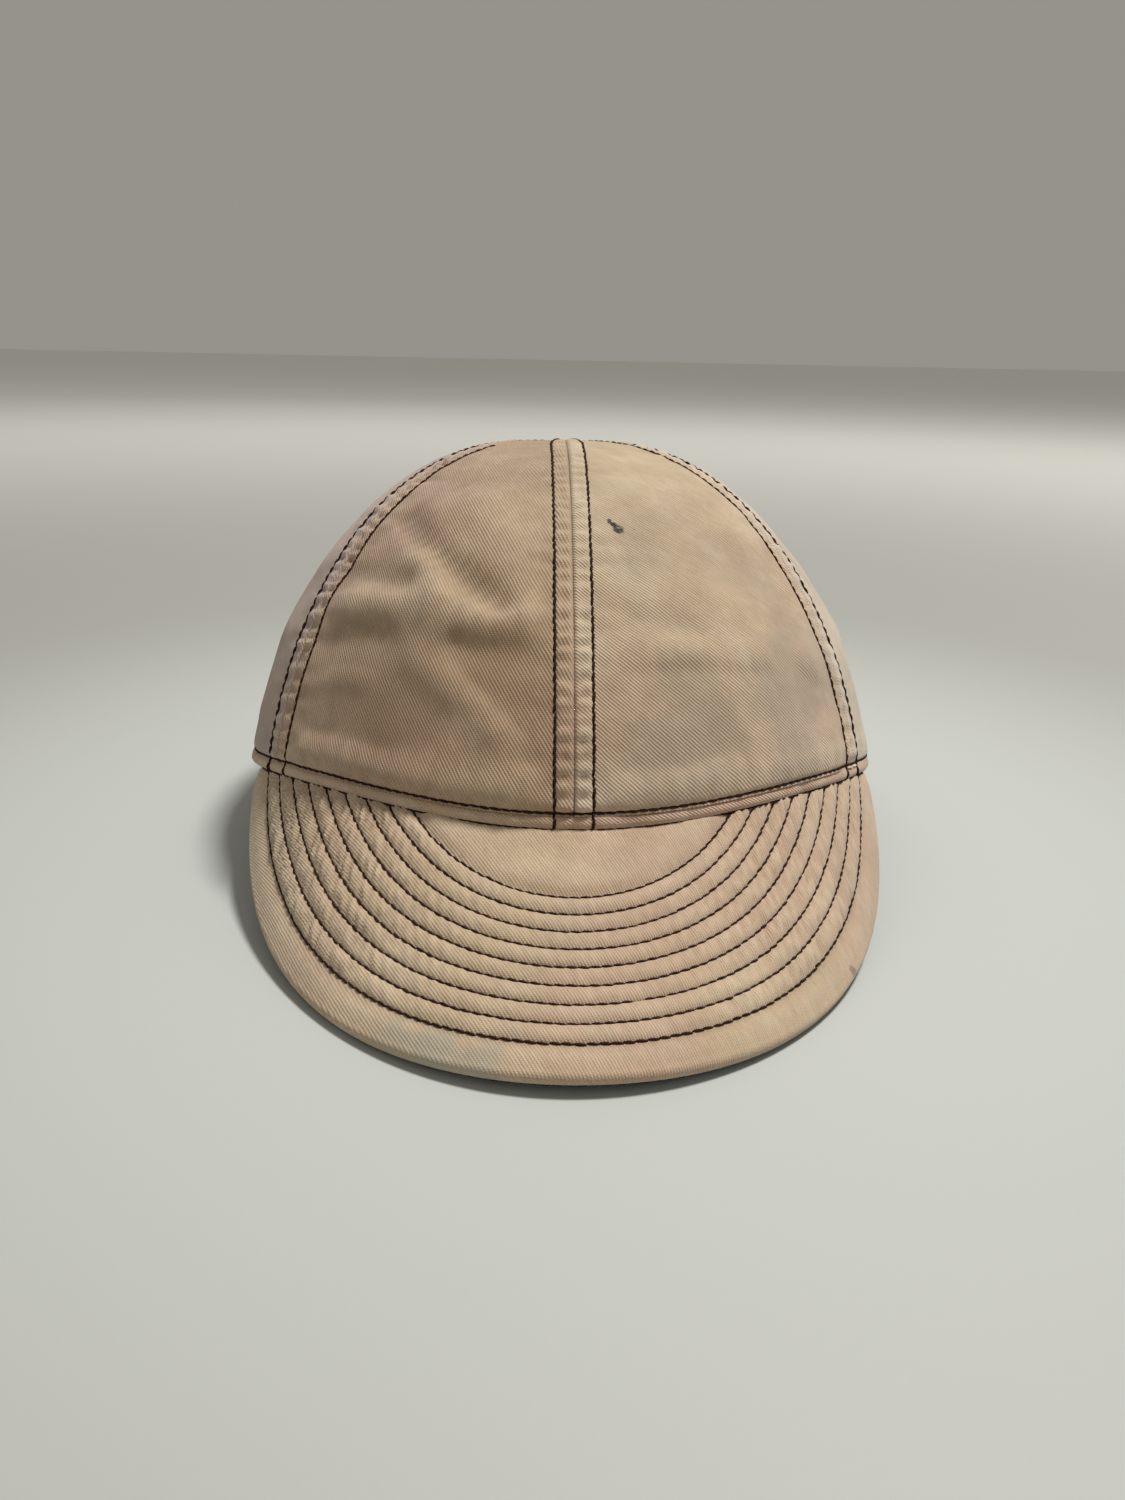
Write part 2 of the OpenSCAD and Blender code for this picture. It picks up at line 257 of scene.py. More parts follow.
def sheet_data(outer, inner, cloth=None, relief=None, ring=False, weld_last=False):
    """Vertices, faces and attributes of a closed sheet between two grids of points, in which
    columns across rows face outwards. cloth is the place in the cut cloth in millimetres and
    relief the fine height of each point."""
    rows, cols = outer.shape[:2]
    n = rows * cols
    verts = np.concatenate([outer.reshape(-1, 3), inner.reshape(-1, 3)])
    faces = np.concatenate([quads(rows, cols, ring), quads(rows, cols, ring, n, True),
                            border(rows, cols, ring)]).tolist()
    if cloth is None:
        cloth = outer[..., [0, 2]]
    side = np.repeat([0.0, 1.0], n)
    flat = np.zeros(n) if relief is None else relief.ravel()
    attributes = {"cloth": np.column_stack([np.tile(cloth.reshape(-1, 2), (2, 1)), side]),
                  "relief": np.concatenate([flat, flat])}
    if weld_last:  # the last row is one point, on both faces
        swap = np.arange(2 * n)
        for last in (np.arange((rows - 1) * cols, n), np.arange(2 * n - cols, 2 * n)):
            swap[last] = last[0]
        welded = [[v for i, v in enumerate(f) if v != f[i - 1]] for f in swap[faces].tolist()]
        welded = [f for f in welded if len(set(f)) == len(f) > 2]
        used = np.unique(np.concatenate([np.array(f) for f in welded]))
        new = np.zeros(2 * n, int)
        new[used] = np.arange(len(used))
        faces = [new[f].tolist() for f in welded]
        verts = verts[used]
        attributes = {k: v[used] for k, v in attributes.items()}
    return verts, faces, attributes


def sheets(name, parts, material, slot, replaces=(), **kw):
    """One piece from several closed sheets."""
    faces, start = [], 0
    for v, f, _ in parts:
        faces += [[i + start for i in face] for face in f]
        start += len(v)
    attributes = {k: np.concatenate([p[2][k] for p in parts]) for k in parts[0][2]}
    ob = mesh_object(name, np.concatenate([p[0] for p in parts]), faces, attributes, **kw)
    return finished(ob, material, replaces)


def lengths(points):
    """Distance travelled along a line of points."""
    seg = np.linalg.norm(np.diff(points, axis=0), axis=1)
    return np.concatenate([[0], np.cumsum(seg)])


# ---- stitching ----

STITCH = 2.4
RING = 7


def stitch_run(points, ups, pitch=STITCH, radius=0.36, lift=0.24, sink=0.10, slant=0.15, seed=1,
               gaps=()):
    """Vertices, faces, twist and shade of the stitches along one line on the cloth."""
    points, ups = np.asarray(points), np.asarray(ups)
    s = lengths(points)
    count = max(1, int(round(s[-1] / pitch)))
    pitch = s[-1] / count
    rng = np.random.default_rng(seed)
    f = np.linspace(0, 1, 7)
    gap = -0.24 + 0.16 * rng.random(count)
    start = np.arange(count) * pitch + gap / 2 + rng.normal(0, 0.05, count)
    long = pitch - gap + rng.normal(0, 0.04, count)
    at = start[:, None] + long[:, None] * f
    middle = at.mean(1)
    keep = np.ones(count, bool)
    for a, b in gaps:
        keep &= (middle < a) | (middle > b)
    at, count = at[keep], int(keep.sum())
    tangent = unit(np.gradient(points, axis=0))
    side = unit(np.cross(tangent, ups))
    base, lat, nor = (np.stack([np.interp(at, s, values[:, i]) for i in range(3)], -1)
                      for values in (points, side, unit(np.cross(side, tangent))))
    lat, nor = unit(lat), unit(nor)
    wave = np.sin(np.pi * f)
    bend = slant * (f - 0.5) * 2
    jitter = rng.normal(0, 0.05, (count, 1, 1))
    centre = (base + nor * (lift * wave - sink)[None, :, None]
              + lat * (bend[None, :, None] + jitter))
    thick = radius * (0.74 + 0.26 * np.clip(wave, 0, 1) ** 0.5)
    thick = thick[None] * (1 + rng.normal(0, 0.06, (count, 1)))
    angle = np.arange(RING) * 2 * np.pi / RING
    ring = (lat[:, :, None] * np.cos(angle)[None, None, :, None]
            + nor[:, :, None] * np.sin(angle)[None, None, :, None])
    verts = centre[:, :, None] + ring * thick[:, :, None, None]
    n = len(f)
    size = n * RING
    one = quads(n, RING, True).tolist() + [list(range(RING))[::-1], list(range(size - RING, size))]
    faces = [[v + c * size for v in face] for c in range(count) for face in one]
    twist = np.zeros((count, n, RING, 3))
    twist[..., 0] = at[:, :, None]
    twist[..., 1] = angle[None, None, :]
    shade = np.repeat(rng.random(count), size)
    return verts.reshape(-1, 3), faces, twist.reshape(-1, 3), shade


def stitch_object(name, runs, body="cap", **kw):
    """One piece from several runs of stitches, each a dict of points, ups and its own sizes."""
    made, faces, total = [], [], 0
    for i, run in enumerate(runs):
        made.append(stitch_run(seed=101 + 17 * i + len(name), **{**kw, **run}))
        faces += [[k + total for k in face] for face in made[-1][1]]
        total += len(made[-1][0])
    verts, _, twist, shade = zip(*made)
    ob = mesh_object(name, np.concatenate(verts), faces,
                     {"cloth": np.concatenate(twist), "relief": np.concatenate(shade)},
                     sharp=0, body=body)
    return finished(ob, THREAD)


# ---- materials ----


class Graph:
    """A material's node tree. A call adds a node: keyword names are its inputs or properties."""

    def __init__(self, name):
        self.material = bpy.data.materials.new(name)
        self.material.use_nodes = True
        self.tree = self.material.node_tree
        self.tree.nodes.clear()
        self.out = self.tree.nodes.new("ShaderNodeOutputMaterial")

    def put(self, socket, value):
        if isinstance(value, bpy.types.NodeSocket):
            self.tree.links.new(value, socket)
        elif socket.type == "RGBA" and len(value) == 3:
            socket.default_value = (*value, 1)
        else:
            socket.default_value = value

    def __call__(self, kind, *inputs, **named):
        node = self.tree.nodes.new("ShaderNode" + kind)
        for key, value in named.items():
            if hasattr(node, key) and not isinstance(value, bpy.types.NodeSocket):
                setattr(node, key, value)
            else:
                self.put(node.inputs[key.replace("_", " ")], value)
        for socket, value in zip(node.inputs, inputs):
            self.put(socket, value)
        return node

    def cloth(self):
        return self("Attribute", attribute_name="cloth").outputs["Vector"]

    def relief(self):
        return self("Attribute", attribute_name="relief").outputs["Fac"]

    def place(self):
        return self("TexCoord").outputs["Object"]

    def math(self, op, a, b=0.0, c=0.0):
        return self("Math", a, b, c, operation=op).outputs[0]

    def mul(self, a, b):
        return self.math("MULTIPLY", a, b)

    def add(self, a, b):
        return self.math("ADD", a, b)

    def mul_add(self, a, b, c):
        return self.math("MULTIPLY_ADD", a, b, c)

    def swing(self, value, by):
        """value, moved from 0 to 1 to lie about 0, times by."""
        return self.mul(self.math("SUBTRACT", value, 0.5), by)

    def scale(self, vector, by):
        return self("VectorMath", vector, by, operation="MULTIPLY").outputs[0]

    def noise(self, vector, scale, detail=2.0, rough=0.5):
        node = self("TexNoise", Vector=vector, Scale=scale, Detail=detail, Roughness=rough)
        return node.outputs["Fac"]

    def cells(self, vector, scale):
        return self("TexVoronoi", Vector=vector, Scale=scale).outputs["Distance"]

    def ramp(self, value, low, high):
        """0 below low and 1 above high."""
        node = self("MapRange", Value=value, interpolation_type="SMOOTHSTEP")
        node.inputs["From Min"].default_value = low
        node.inputs["From Max"].default_value = high
        return node.outputs[0]

    def mix(self, factor, a, b, blend="MIX"):
        node = self("Mix", data_type="RGBA", blend_type=blend)
        for i, value in ((0, factor), (6, a), (7, b)):
            self.put(node.inputs[i], value)
        return node.outputs[2]

    def tint(self, colour, mask, by, other):
        """colour, turned by at most by towards other where mask is 1."""
        return self.mix(self.mul(mask, by), colour, other)

    def finish(self, colour, roughness, height=None, distance=0.0002, strength=1.0, **uniform):
        shader = self("BsdfPrincipled")
        self.put(shader.inputs["Base Color"], colour)
        self.put(shader.inputs["Roughness"], roughness)
        for key, value in uniform.items():
            self.put(shader.inputs[key.replace("_", " ")], value)
        if height is not None:
            bump = self("Bump", Strength=strength, Distance=distance, Height=height)
            self.put(shader.inputs["Normal"], bump.outputs[0])
        self.tree.links.new(shader.outputs[0], self.out.inputs[0])
        return self.material


def srgb(colour, times=1.0):
    """A linear colour from one given in 0 to 255 steps as the eye sees it."""
    return tuple(times * (c / 12.92 if c <= 0.04045 else ((c + 0.055) / 1.055) ** 2.4)
                 for c in (v / 255 for v in colour))


WALE = 0.72  # distance between the twill's diagonal lines
FLOAT = 0.53  # distance between the floats across them


def twill(name, warm, pink, pale, grey, stains_and_shade=(), tint=0.28, ribs=1.0, slope=45.0, pitch=WALE):
    """Faded cotton twill: diagonal wales, mottled fading, pale raised folds, and painted shade that darkens sunken
    valleys.
    The marks given are ink stains and broad patches of painted shade, each a place in metres, a radius, a colour
    and a strength."""
    valley_shade = srgb(grey, 0.45)
    warm, pink, pale, grey = (srgb(c) for c in (warm, pink, pale, grey))
    g = Graph(name)
    cloth, relief, place = g.cloth(), g.relief(), g.place()
    u, v, inside = g("SeparateXYZ", cloth).outputs
    flat = g("CombineXYZ", u, v, 0.0).outputs[0]
    # Diagonal wales, wavering slightly, with floats across them
    waver = g.noise(flat, 0.35, 2.0)
    rise, go = math.sin(math.radians(slope)), math.cos(math.radians(slope))
    diagonal = g.mul_add(u, rise, g.mul(v, go))
    across = g.mul_add(u, go, g.mul(v, -rise))
    wale = g.math("SINE", g.mul_add(diagonal, 2 * math.pi / pitch, g.mul(waver, 2.4)))
    floats = g.math("SINE", g.mul_add(across, 2 * math.pi / FLOAT, g.mul(wale, 1.4)))
    streaks = g.noise(g("CombineXYZ", g.mul(diagonal, 1.55), g.mul(across, 0.22), 0.0).outputs[0],
                      1.0, 3.0)
    yarn = g.noise(g.scale(flat, (3.6, 0.7, 1.0)), 1.0, 3.0, 0.6)
    fuzz = g.noise(flat, 5.0, 4.0, 0.7)
    # Fading
    broad = g.ramp(g.noise(place, 15.0, 3.0), 0.36, 0.64)
    patch = g.ramp(g.noise(place, 34.0, 4.0, 0.6), 0.42, 0.66)
    mottle = g.noise(place, 120.0, 4.0, 0.6)
    bleach = g.ramp(g.noise(g.scale(flat, (0.06, 0.045, 1.0)), 1.0, 4.0, 0.6), 0.42, 0.72)
    colour = g.mix(broad, warm, pink)
    colour = g.tint(colour, patch, tint, grey)
    colour = g.tint(colour, bleach, 0.34, pale)
    colour = g.tint(colour, g.ramp(relief, 0.05, 0.55), 0.32, pale)
    # Painted shade: the cloth is darkened where its relief sinks, in seam grooves, under rows of stitches, in
    # folds and at the edges of bands and strips.
    colour = g.tint(colour, g.ramp(relief, 0.0, -0.45), 0.27, valley_shade)
    weave = g.mul_add(wale, 0.105 * ribs, g.mul_add(g.math("SUBTRACT", streaks, 0.5), 0.42,
                                                    g.swing(yarn, 0.26)))
    weave = g.add(weave, g.swing(mottle, 0.34))
    weave = g.mul_add(floats, 0.05, weave)
    weave = g.add(weave, g.swing(fuzz, 0.52))
    colour = g.mix(1.0, colour, g("CombineColor", *[g.add(weave, 0.97)] * 3).outputs[0],
                   "MULTIPLY")
    # Each spot tints the cloth towards its colour: small ink stains, and broad darker patches that are painted
    # shade.
    for spot, radius, spot_colour, strength in stains_and_shade:
        away = g("VectorMath", place, spot, operation="DISTANCE").outputs["Value"]
        ragged = g.add(g.math("DIVIDE", away, radius),
                       g.swing(g.noise(place, 1.1 / radius, 4.0, 0.7), 2.1))
        colour = g.tint(colour, g.ramp(ragged, 1.0, 0.45), strength, srgb(spot_colour))
    # The inner face has kept more of its colour
    colour = g.tint(colour, g.math("GREATER_THAN", inside, 0.5), 0.35, warm)
    height = g.mul_add(wale, 0.42 * ribs, g.mul_add(floats, 0.12, g.mul(yarn, 0.5)))
    height = g.add(height, g.mul(fuzz, 0.5))
    return g.finish(colour, g.mul_add(mottle, 0.12, 0.82), height, 0.00022, 0.75,
                    Sheen_Weight=0.25, Sheen_Roughness=0.6, Specular_IOR_Level=0.25)


def plain_weave(name, light, dark, pitch):
    """Plain tape or lining: warp and weft at right angles."""
    g = Graph(name)
    cloth, relief, place = g.cloth(), g.relief(), g.place()
    parts = g("SeparateXYZ", cloth).outputs
    weft, warp = (g.math("SINE", g.mul(part, 2 * math.pi / pitch)) for part in parts[:2])
    check = g.mul(weft, warp)
    slub = g.noise(g.scale(cloth, (0.35, 3.0, 1.0)), 1.0, 3.0, 0.6)
    soil = g.ramp(g.noise(place, 40.0, 4.0, 0.6), 0.38, 0.68)
    fine = g.noise(place, 260.0, 3.0, 0.6)
    value = g.mul_add(check, 0.10, g.mul_add(slub, 0.35, 0.30))
    value = g.add(value, g.swing(fine, 0.35))
    colour = g.mix(value, srgb(light), srgb(dark))
    colour = g.tint(colour, soil, 0.4, srgb(dark, 0.6))
    # Painted shade: the tape is darkened where its relief sinks, under its rows of stitches.
    colour = g.tint(colour, g.ramp(relief, 0.0, -0.4), 0.4, srgb(dark, 0.4))
    height = g.add(g.mul(check, 0.5), slub)
    return g.finish(colour, g.mul_add(slub, 0.1, 0.82), height, 0.0002, 0.7,
                    Sheen_Weight=0.2, Sheen_Roughness=0.6, Specular_IOR_Level=0.25)


def sewing_thread():
    """Dark thread in two plies, faded where it stands up."""
    g = Graph("maroon_thread")
    cloth, shade = g.cloth(), g.relief()
    parts = g("SeparateXYZ", cloth).outputs
    ply = g.math("SINE", g.mul_add(parts[0], 2 * math.pi / 0.55, parts[1]))
    fibre = g.noise(cloth, 2.6, 3.0, 0.7)
    colour = g.mix(g.ramp(fibre, 0.35, 0.75), srgb((44, 22, 18)), srgb((66, 38, 32)))
    colour = g.tint(colour, shade, 0.25, srgb((84, 54, 44)))
    colour = g.mix(g.ramp(ply, -0.1, -0.9), colour, srgb((28, 13, 10)))
    return g.finish(colour, g.mul_add(fibre, 0.2, 0.70), g.mul_add(ply, 0.5, fibre), 0.00008, 0.8,
                    Specular_IOR_Level=0.12)


def moulded(name, base, light, rough, grain=700.0, bump=0.00006):
    """Moulded plastic or rubber with a fine spark texture and scuffs."""
    g = Graph(name)
    place = g.place()
    spark = g.noise(place, grain, 3.0, 0.65)
    cloud = g.noise(place, 45.0, 4.0, 0.6)
    scuff = g.ramp(g.noise(g.scale(place, (300.0, 60.0, 90.0)), 1.0, 4.0, 0.7), 0.60, 0.74)
    colour = g.mix(g.ramp(cloud, 0.35, 0.7), srgb(base), srgb(light))
    colour = g.tint(colour, scuff, 0.35, srgb(light, 2.2))
    height = g.mul_add(scuff, -0.5, spark)
    value = g.mul_add(cloud, 0.18, g.mul_add(scuff, 0.15, rough))
    return g.finish(colour, value, height, bump, 0.6)


def foam_surface():
    """Closed-cell foam: small pits and a dusty skin."""
    g = Graph("foam_surface")
    place = g.place()
    cells, large = g.cells(place, 900.0), g.cells(place, 380.0)
    dust = g.ramp(g.noise(place, 60.0, 4.0, 0.6), 0.4, 0.7)
    colour = g.mix(g.ramp(cells, 0.0, 0.6), srgb((34, 34, 37)), srgb((66, 66, 70)))
    colour = g.tint(colour, dust, 0.3, srgb((96, 94, 92)))
    height = g.mul_add(large, 0.6, cells)
    return g.finish(colour, g.mul_add(dust, 0.08, 0.88), height, 0.00030, 0.9)


def fastener(name, base, tip, scale, bump):
    """Hook or loop tape: rows of tiny hooks, or tangled loops."""
    g = Graph(name)
    cloth = g.cloth()
    cells = g.cells(cloth, scale)
    tangle = g.noise(cloth, scale * 0.8, 4.0, 0.7)
    colour = g.mix(g.ramp(cells, 0.1, 0.6), srgb(tip), srgb(base))
    colour = g.mix(g.ramp(tangle, 0.55, 0.8), colour, srgb(tip))
    height = g.math("SUBTRACT", tangle, cells)
    return g.finish(colour, g.mul_add(tangle, 0.2, 0.6), height, bump, 1.0, Sheen_Weight=0.2)


def board_surface():
    g = Graph("brim_board_surface")
    place = g.place()
    flecks = g.noise(place, 420.0, 4.0, 0.65)
    cloud = g.noise(place, 30.0, 3.0)
    colour = g.mix(g.ramp(flecks, 0.35, 0.7), srgb((150, 132, 104)), srgb((176, 160, 132)))
    colour = g.tint(colour, cloud, 0.3, srgb((120, 104, 80)))
    return g.finish(colour, g.mul_add(cloud, 0.15, 0.75), flecks, 0.0001, 0.6)


def spots(place, *rows):
    """Marks from rows of two numbers that place gives a point for, a radius and the rest."""
    return [(tuple(stood(place(a, b))), *rest) for a, b, *rest in rows]


INK = (14, 15, 20)
TAN, SALMON, PALE, ASH = (190, 168, 138), (192, 164, 137), (220, 204, 180), (166, 148, 126)
# The broad grey-brown patches on the two front panels are painted shade; the small dark blots on the right panel
# are ink stains.
FRONT_LEFT_CLOTH = twill(
    "front_left_twill", (174, 148, 119), (173, 139, 115), (204, 182, 154), (138, 114, 91),
    slope=52.0, stains_and_shade=spots(crown, (-27.0, 24.0, 0.024, (144, 116, 88), 0.40),
                            (-9.0, 28.0, 0.014, (148, 120, 92), 0.40)))
FRONT_RIGHT_CLOTH = twill(
    "front_right_twill", TAN, SALMON, PALE, ASH, ribs=0.95, stains_and_shade=spots(
        crown, (47.0, 26.0, 0.020, (158, 142, 124), 0.45),
        (19.0, 17.0, 0.022, (152, 138, 118), 0.40), (37.0, 14.0, 0.022, (154, 138, 122), 0.40),
        (10.4, 50.2, 0.0017, INK, 1.0), (9.5, 51.0, 0.0014, INK, 1.0),
        (8.6, 51.8, 0.0010, INK, 0.9), (11.2, 49.3, 0.0009, INK, 0.9),
        (13.8, 50.2, 0.0007, (70, 58, 50), 0.9)))
SIDE_LEFT_CLOTH = twill("side_left_twill", (176, 154, 138), (180, 152, 140), (198, 184, 170),
                        (150, 136, 130))
SIDE_RIGHT_CLOTH = twill("side_right_twill", (200, 186, 164), (204, 184, 164), (222, 212, 196),
                         (178, 168, 156))
BACK_CLOTH = twill("back_twill", (190, 164, 138), SALMON, PALE, ASH)
BAND_CLOTH = twill("band_twill", (192, 162, 134), (194, 158, 134), PALE, ASH)
THREAD = sewing_thread()

# ---- crown panels ----

NEAR = np.array([0, .2, .45, .75, 1.15, 1.6, 2.1, 2.6, 3.1, 3.5, 3.85, 4.1, 4.3, 4.5, 4.75, 5.1,
                 5.6, 6.4, 7.4, 8.6, 10.0])  # columns beside a seam, in millimetres from it
SEAM_ROW = 4.3  # distance of the topstitching from its seam
SEAM_COLUMN = int(np.argmin(abs(NEAR - SEAM_ROW)))
FOOT = np.array([0, .25, .5, .7, .9, 1.2, 1.7, 2.4, 3.2, 4.1])  # the rows above the hem
HEM_ROW = 3  # the row of points that carries the hem's topstitching
GRID = 0.92  # distance between rows further up
CLOTH_T = 0.8
PANEL_FOOT = float(angle_at(BAND_H))


def foot_angle(t):
    d = np.abs(np.abs(t) - 180) / ARCH_HALF
    return PANEL_FOOT + (ARCH_TOP - PANEL_FOOT) * np.sqrt(np.clip(1 - d * d, 0, 1))


def seam_relief(d, s, pucker, seed):
    """Height beside a seam at distance d, s along it: the groove, the padded allowance, the
    valley under the stitches, and puckers that run across."""
    groove = -0.42 * bell(d, 0.22)
    padding = 0.34 * step(0.1, 0.9, d) * (1 - step(3.4, 5.6, d))
    valley = -0.30 * bell(d - SEAM_ROW, 0.45)
    ripple = (0.55 * np.sin(2 * np.pi * s / 3.9 + 2.6 * noise1(s / 9, seed))
              + 0.75 * noise2(s / 1.9, d / 3.0, seed + 1))
    inside = ripple * np.sin(np.pi * np.clip(d / SEAM_ROW, 0, 1)) ** 0.8
    far = 0.75 * noise2(s / 3.0, d / 8.0, seed + 2)
    outside = far * np.exp(-np.clip(d - SEAM_ROW, 0, 99) / 4.5) * step(SEAM_ROW, 5.2, d)
    return groove + padding + valley + pucker * (inside + outside)


def crumple(p, seed):
    """Soft dents of worn cloth."""
    return (0.85 * noise(p / np.array([30, 30, 19.0]), seed)
            + 0.46 * noise(p / np.array([13, 13, 8.0]), seed + 1) + 0.09 * noise(p / 5.0, seed + 2))


def crease(p, t0, w0, t1, w1, wide, deep):
    """A soft valley, or a ridge if deep is negative, between two places on the crown."""
    f = np.linspace(0, 1, 13)
    line = crown(t0 + (t1 - t0) * f, w0 + (w1 - w0) * f)
    away = np.min(np.linalg.norm(p[..., None, :] - line, axis=-1), axis=-1)
    return -deep * bell(away, wide)


def panel_grid(ta, tb, spread_a, spread_b):
    """Azimuths, angles, distances from both seams, cloth places, heights and row lengths."""
    mid = (ta + tb) / 2
    table = np.linspace(PANEL_FOOT, CROWN_TOP, 600)
    whole = lengths(crown(mid, table))
    widths = np.array([lengths(crown(np.linspace(ta, tb, 60), w))[-1] for w in table])
    ws = np.linspace(float(foot_angle(mid)), CROWN_TOP, 600)
    run = lengths(crown(mid, ws))
    heights = np.concatenate([FOOT, np.arange(5.0, run[-1] - 0.4, GRID), [run[-1]]])
    shares = (np.interp(heights, run, ws) - ws[0]) / (CROWN_TOP - ws[0])
    dense = np.linspace(ta, tb, 400)
    foot = foot_angle(dense)
    middle = max(6, int(round((lengths(crown(dense, foot))[-1] - 2 * NEAR[-1]) / 0.95)))
    rows = []
    for share in shares:
        run = lengths(crown(dense, foot + (CROWN_TOP - foot) * share))
        total = run[-1]
        shrink = min(1.0, total / (2 * NEAR[-1] + 5))
        near_a, near_b = NEAR * shrink * spread_a, NEAR * shrink * spread_b
        inner = np.linspace(near_a[-1], total - near_b[-1], middle + 2)[1:-1]
        at = np.concatenate([near_a, inner, total - near_b[::-1]])
        t = np.interp(at, run, dense)
        rows.append((t, foot_angle(t) + (CROWN_TOP - foot_angle(t)) * share,
                     at / (shrink * spread_a), (total - at) / (shrink * spread_b),
                     np.full_like(at, total)))
    t, w, da, db, wide = (np.array(column) for column in zip(*rows))
    u = (t - mid) / (tb - ta) * np.interp(w, table, widths)
    v = np.interp(w, table, whole)
    return t, w, da, db, u, v, np.repeat(heights[:, None], t.shape[1], 1), wide


PANELS = {}


def make_panel(name, ta, tb, pucker_a, pucker_b, seed, material, slot, creases=()):
    t, w, da, db, u, v, rise, wide = panel_grid(ta, tb, pucker_a[2], pucker_b[2])
    base, normal = crown(t, w), crown_normal(t, w)
    calm = step(4, 30, wide)
    fine = (seam_relief(da, v, *pucker_a[:2]) + seam_relief(db, v, *pucker_b[:2])) * calm
    fine += (-0.40 * bell(rise - FOOT[HEM_ROW], 0.34) + 0.16 * step(0.9, 2.0, rise)
             * (1 - step(3, 9, rise)) * (1 + noise2(u / 3.2, v / 6.0, seed + 7)))
    near_seam = np.minimum(da, db)
    loose = (0.30 + 0.70 * step(3, 15, near_seam)) * (0.25 + 0.75 * step(1.5, 12, rise)) * calm
    soft = crumple(base, seed) * loose
    for line in creases:
        soft = soft + 1.35 * crease(base, *line) * calm * (0.25 + 0.75 * step(4, 13, near_seam))
    floor = -0.30 - 1.6 * step(25, 34, w)  # the sweatband and the insert lie close behind
    soft = np.where(soft < 0, floor * (1 - np.exp(soft / np.abs(floor))), soft)
    height = fine + soft + 0.12
    outer = base + normal * height[..., None]
    inside = np.minimum(height, soft + 0.3) - CLOTH_T
    taped = (near_seam < 8) | (w < 30)  # the seam tapes and the sweatband lie here
    inner = base + normal * np.where(taped, np.maximum(inside, -1.15), inside)[..., None]
    outer[-1], inner[-1] = outer[-1].mean(0), inner[-1].mean(0)
    data = sheet_data(outer, inner, joined(u, v), fine + 0.25 * soft, weld_last=True)
    ob = sheets(name + "_cloth", [data], material, slot, [name])
    PANELS[name] = dict(outer=outer, normal=normal, t=t, wide=wide[:, 0])


# Of each seam: how deep its puckers are, their seed, and how far out its rows are stitched
CENTRE_PUCKER, BACK_PUCKER = (0.52, 31, 1.0), (0.45, 61, 1.0)
LEFT_PUCKER, RIGHT_PUCKER = (0.60, 41, 1.2), (0.52, 51, 1.0)
# Of each fold: where it starts and ends on the crown, its width, and its depth
LEFT_CREASES = [
    (-50, 35, -8, 34.5, 6.5, -1.5), (-46, 9, -6, 8.5, 5.5, -0.9), (-30, 43, -24, 37, 5.0, -0.9),
    (-41, 51, -13, 36.5, 3.6, 1.7), (-52, 41, -33, 38.5, 4.0, 1.3), (-22, 55, -12, 44, 7.0, -1.0),
    (-49, 26, -36, 29, 6.0, 1.5), (-49, 15, -30, 16, 5.0, 1.2), (-19.5, 30, -5.5, 19, 3.5, 1.0),
    (-26, 27, -12, 19, 5.0, -0.8), (-6, 14, -4, 20, 2.6, 1.0), (-13, 28, -5, 28, 5.0, 1.0),
    (-44, 60, -24, 60, 6.0, 0.8)]
RIGHT_CREASES = [
    (13, 24, 48, 18.5, 5.5, 1.1), (12, 30, 46, 26, 6.0, -0.8), (40, 26, 46, 36, 6.0, 1.0),
    (8, 13, 24, 15, 4.5, 0.8), (14, 46, 40, 42, 9.0, 0.6), (8, 9, 48, 8.5, 5.5, -0.8),
    (30, 50, 44, 38, 5.0, 0.9), (8, 36, 20, 33, 4.0, 0.7)]
for panel_seed, panel in enumerate([
        ("front_panel_left", -SIDE_SEAM, 0, LEFT_PUCKER, CENTRE_PUCKER, FRONT_LEFT_CLOTH,
         "crown_cloth", LEFT_CREASES),
        ("front_panel_right", 0, SIDE_SEAM, CENTRE_PUCKER, RIGHT_PUCKER, FRONT_RIGHT_CLOTH,
         "crown_cloth", RIGHT_CREASES),
        ("side_panel_left", -BACK_SEAM, -SIDE_SEAM, BACK_PUCKER, LEFT_PUCKER, SIDE_LEFT_CLOTH,
         "side_cloth"),
        ("side_panel_right", SIDE_SEAM, BACK_SEAM, RIGHT_PUCKER, BACK_PUCKER, SIDE_RIGHT_CLOTH,
         "side_cloth"),
        ("back_panel_left", -180, -BACK_SEAM, CENTRE_PUCKER, BACK_PUCKER, BACK_CLOTH,
         "crown_cloth"),
        ("back_panel_right", BACK_SEAM, 180, BACK_PUCKER, CENTRE_PUCKER, BACK_CLOTH,
         "crown_cloth")], 11):
    make_panel(*panel[:5], panel_seed, *panel[5:])

# ---- hem band ----


def band_point(t, p):
    """A point of the band's face at azimuth t: p is 0 at the lower fold and 1 under the panels."""
    t, p = np.broadcast_arrays(np.asarray(t, float), p)
    bulge = np.sin(np.pi * np.clip(p, 0, 1) ** 0.85) ** 0.7
    s = t * 1.66
    crossing = sum(bell(s - 1.66 * c, 0.6)
                   for seam in (-BACK_SEAM, -SIDE_SEAM, 0, SIDE_SEAM, BACK_SEAM)
                   for c in (seam - 2.6, seam + 2.6))
    k = 0.15 - bulge * (0.68 + 0.13 * noise1(s / 2.3, 71) + 0.08 * noise1(s / 9, 72)
                        - 0.26 * crossing)
    return round_hem(t, k, hem_z(t) + (0.10 + 2.85 * p))


def round_hem(t, k, z):
    return joined((HALF_W - k) * np.sin(rad(t)), -(HALF_L - k) * np.cos(rad(t)), z)


def outwards(t):
    return unit(joined(np.sin(rad(t)) / HALF_W, -np.cos(rad(t)) / HALF_L, 0.0))


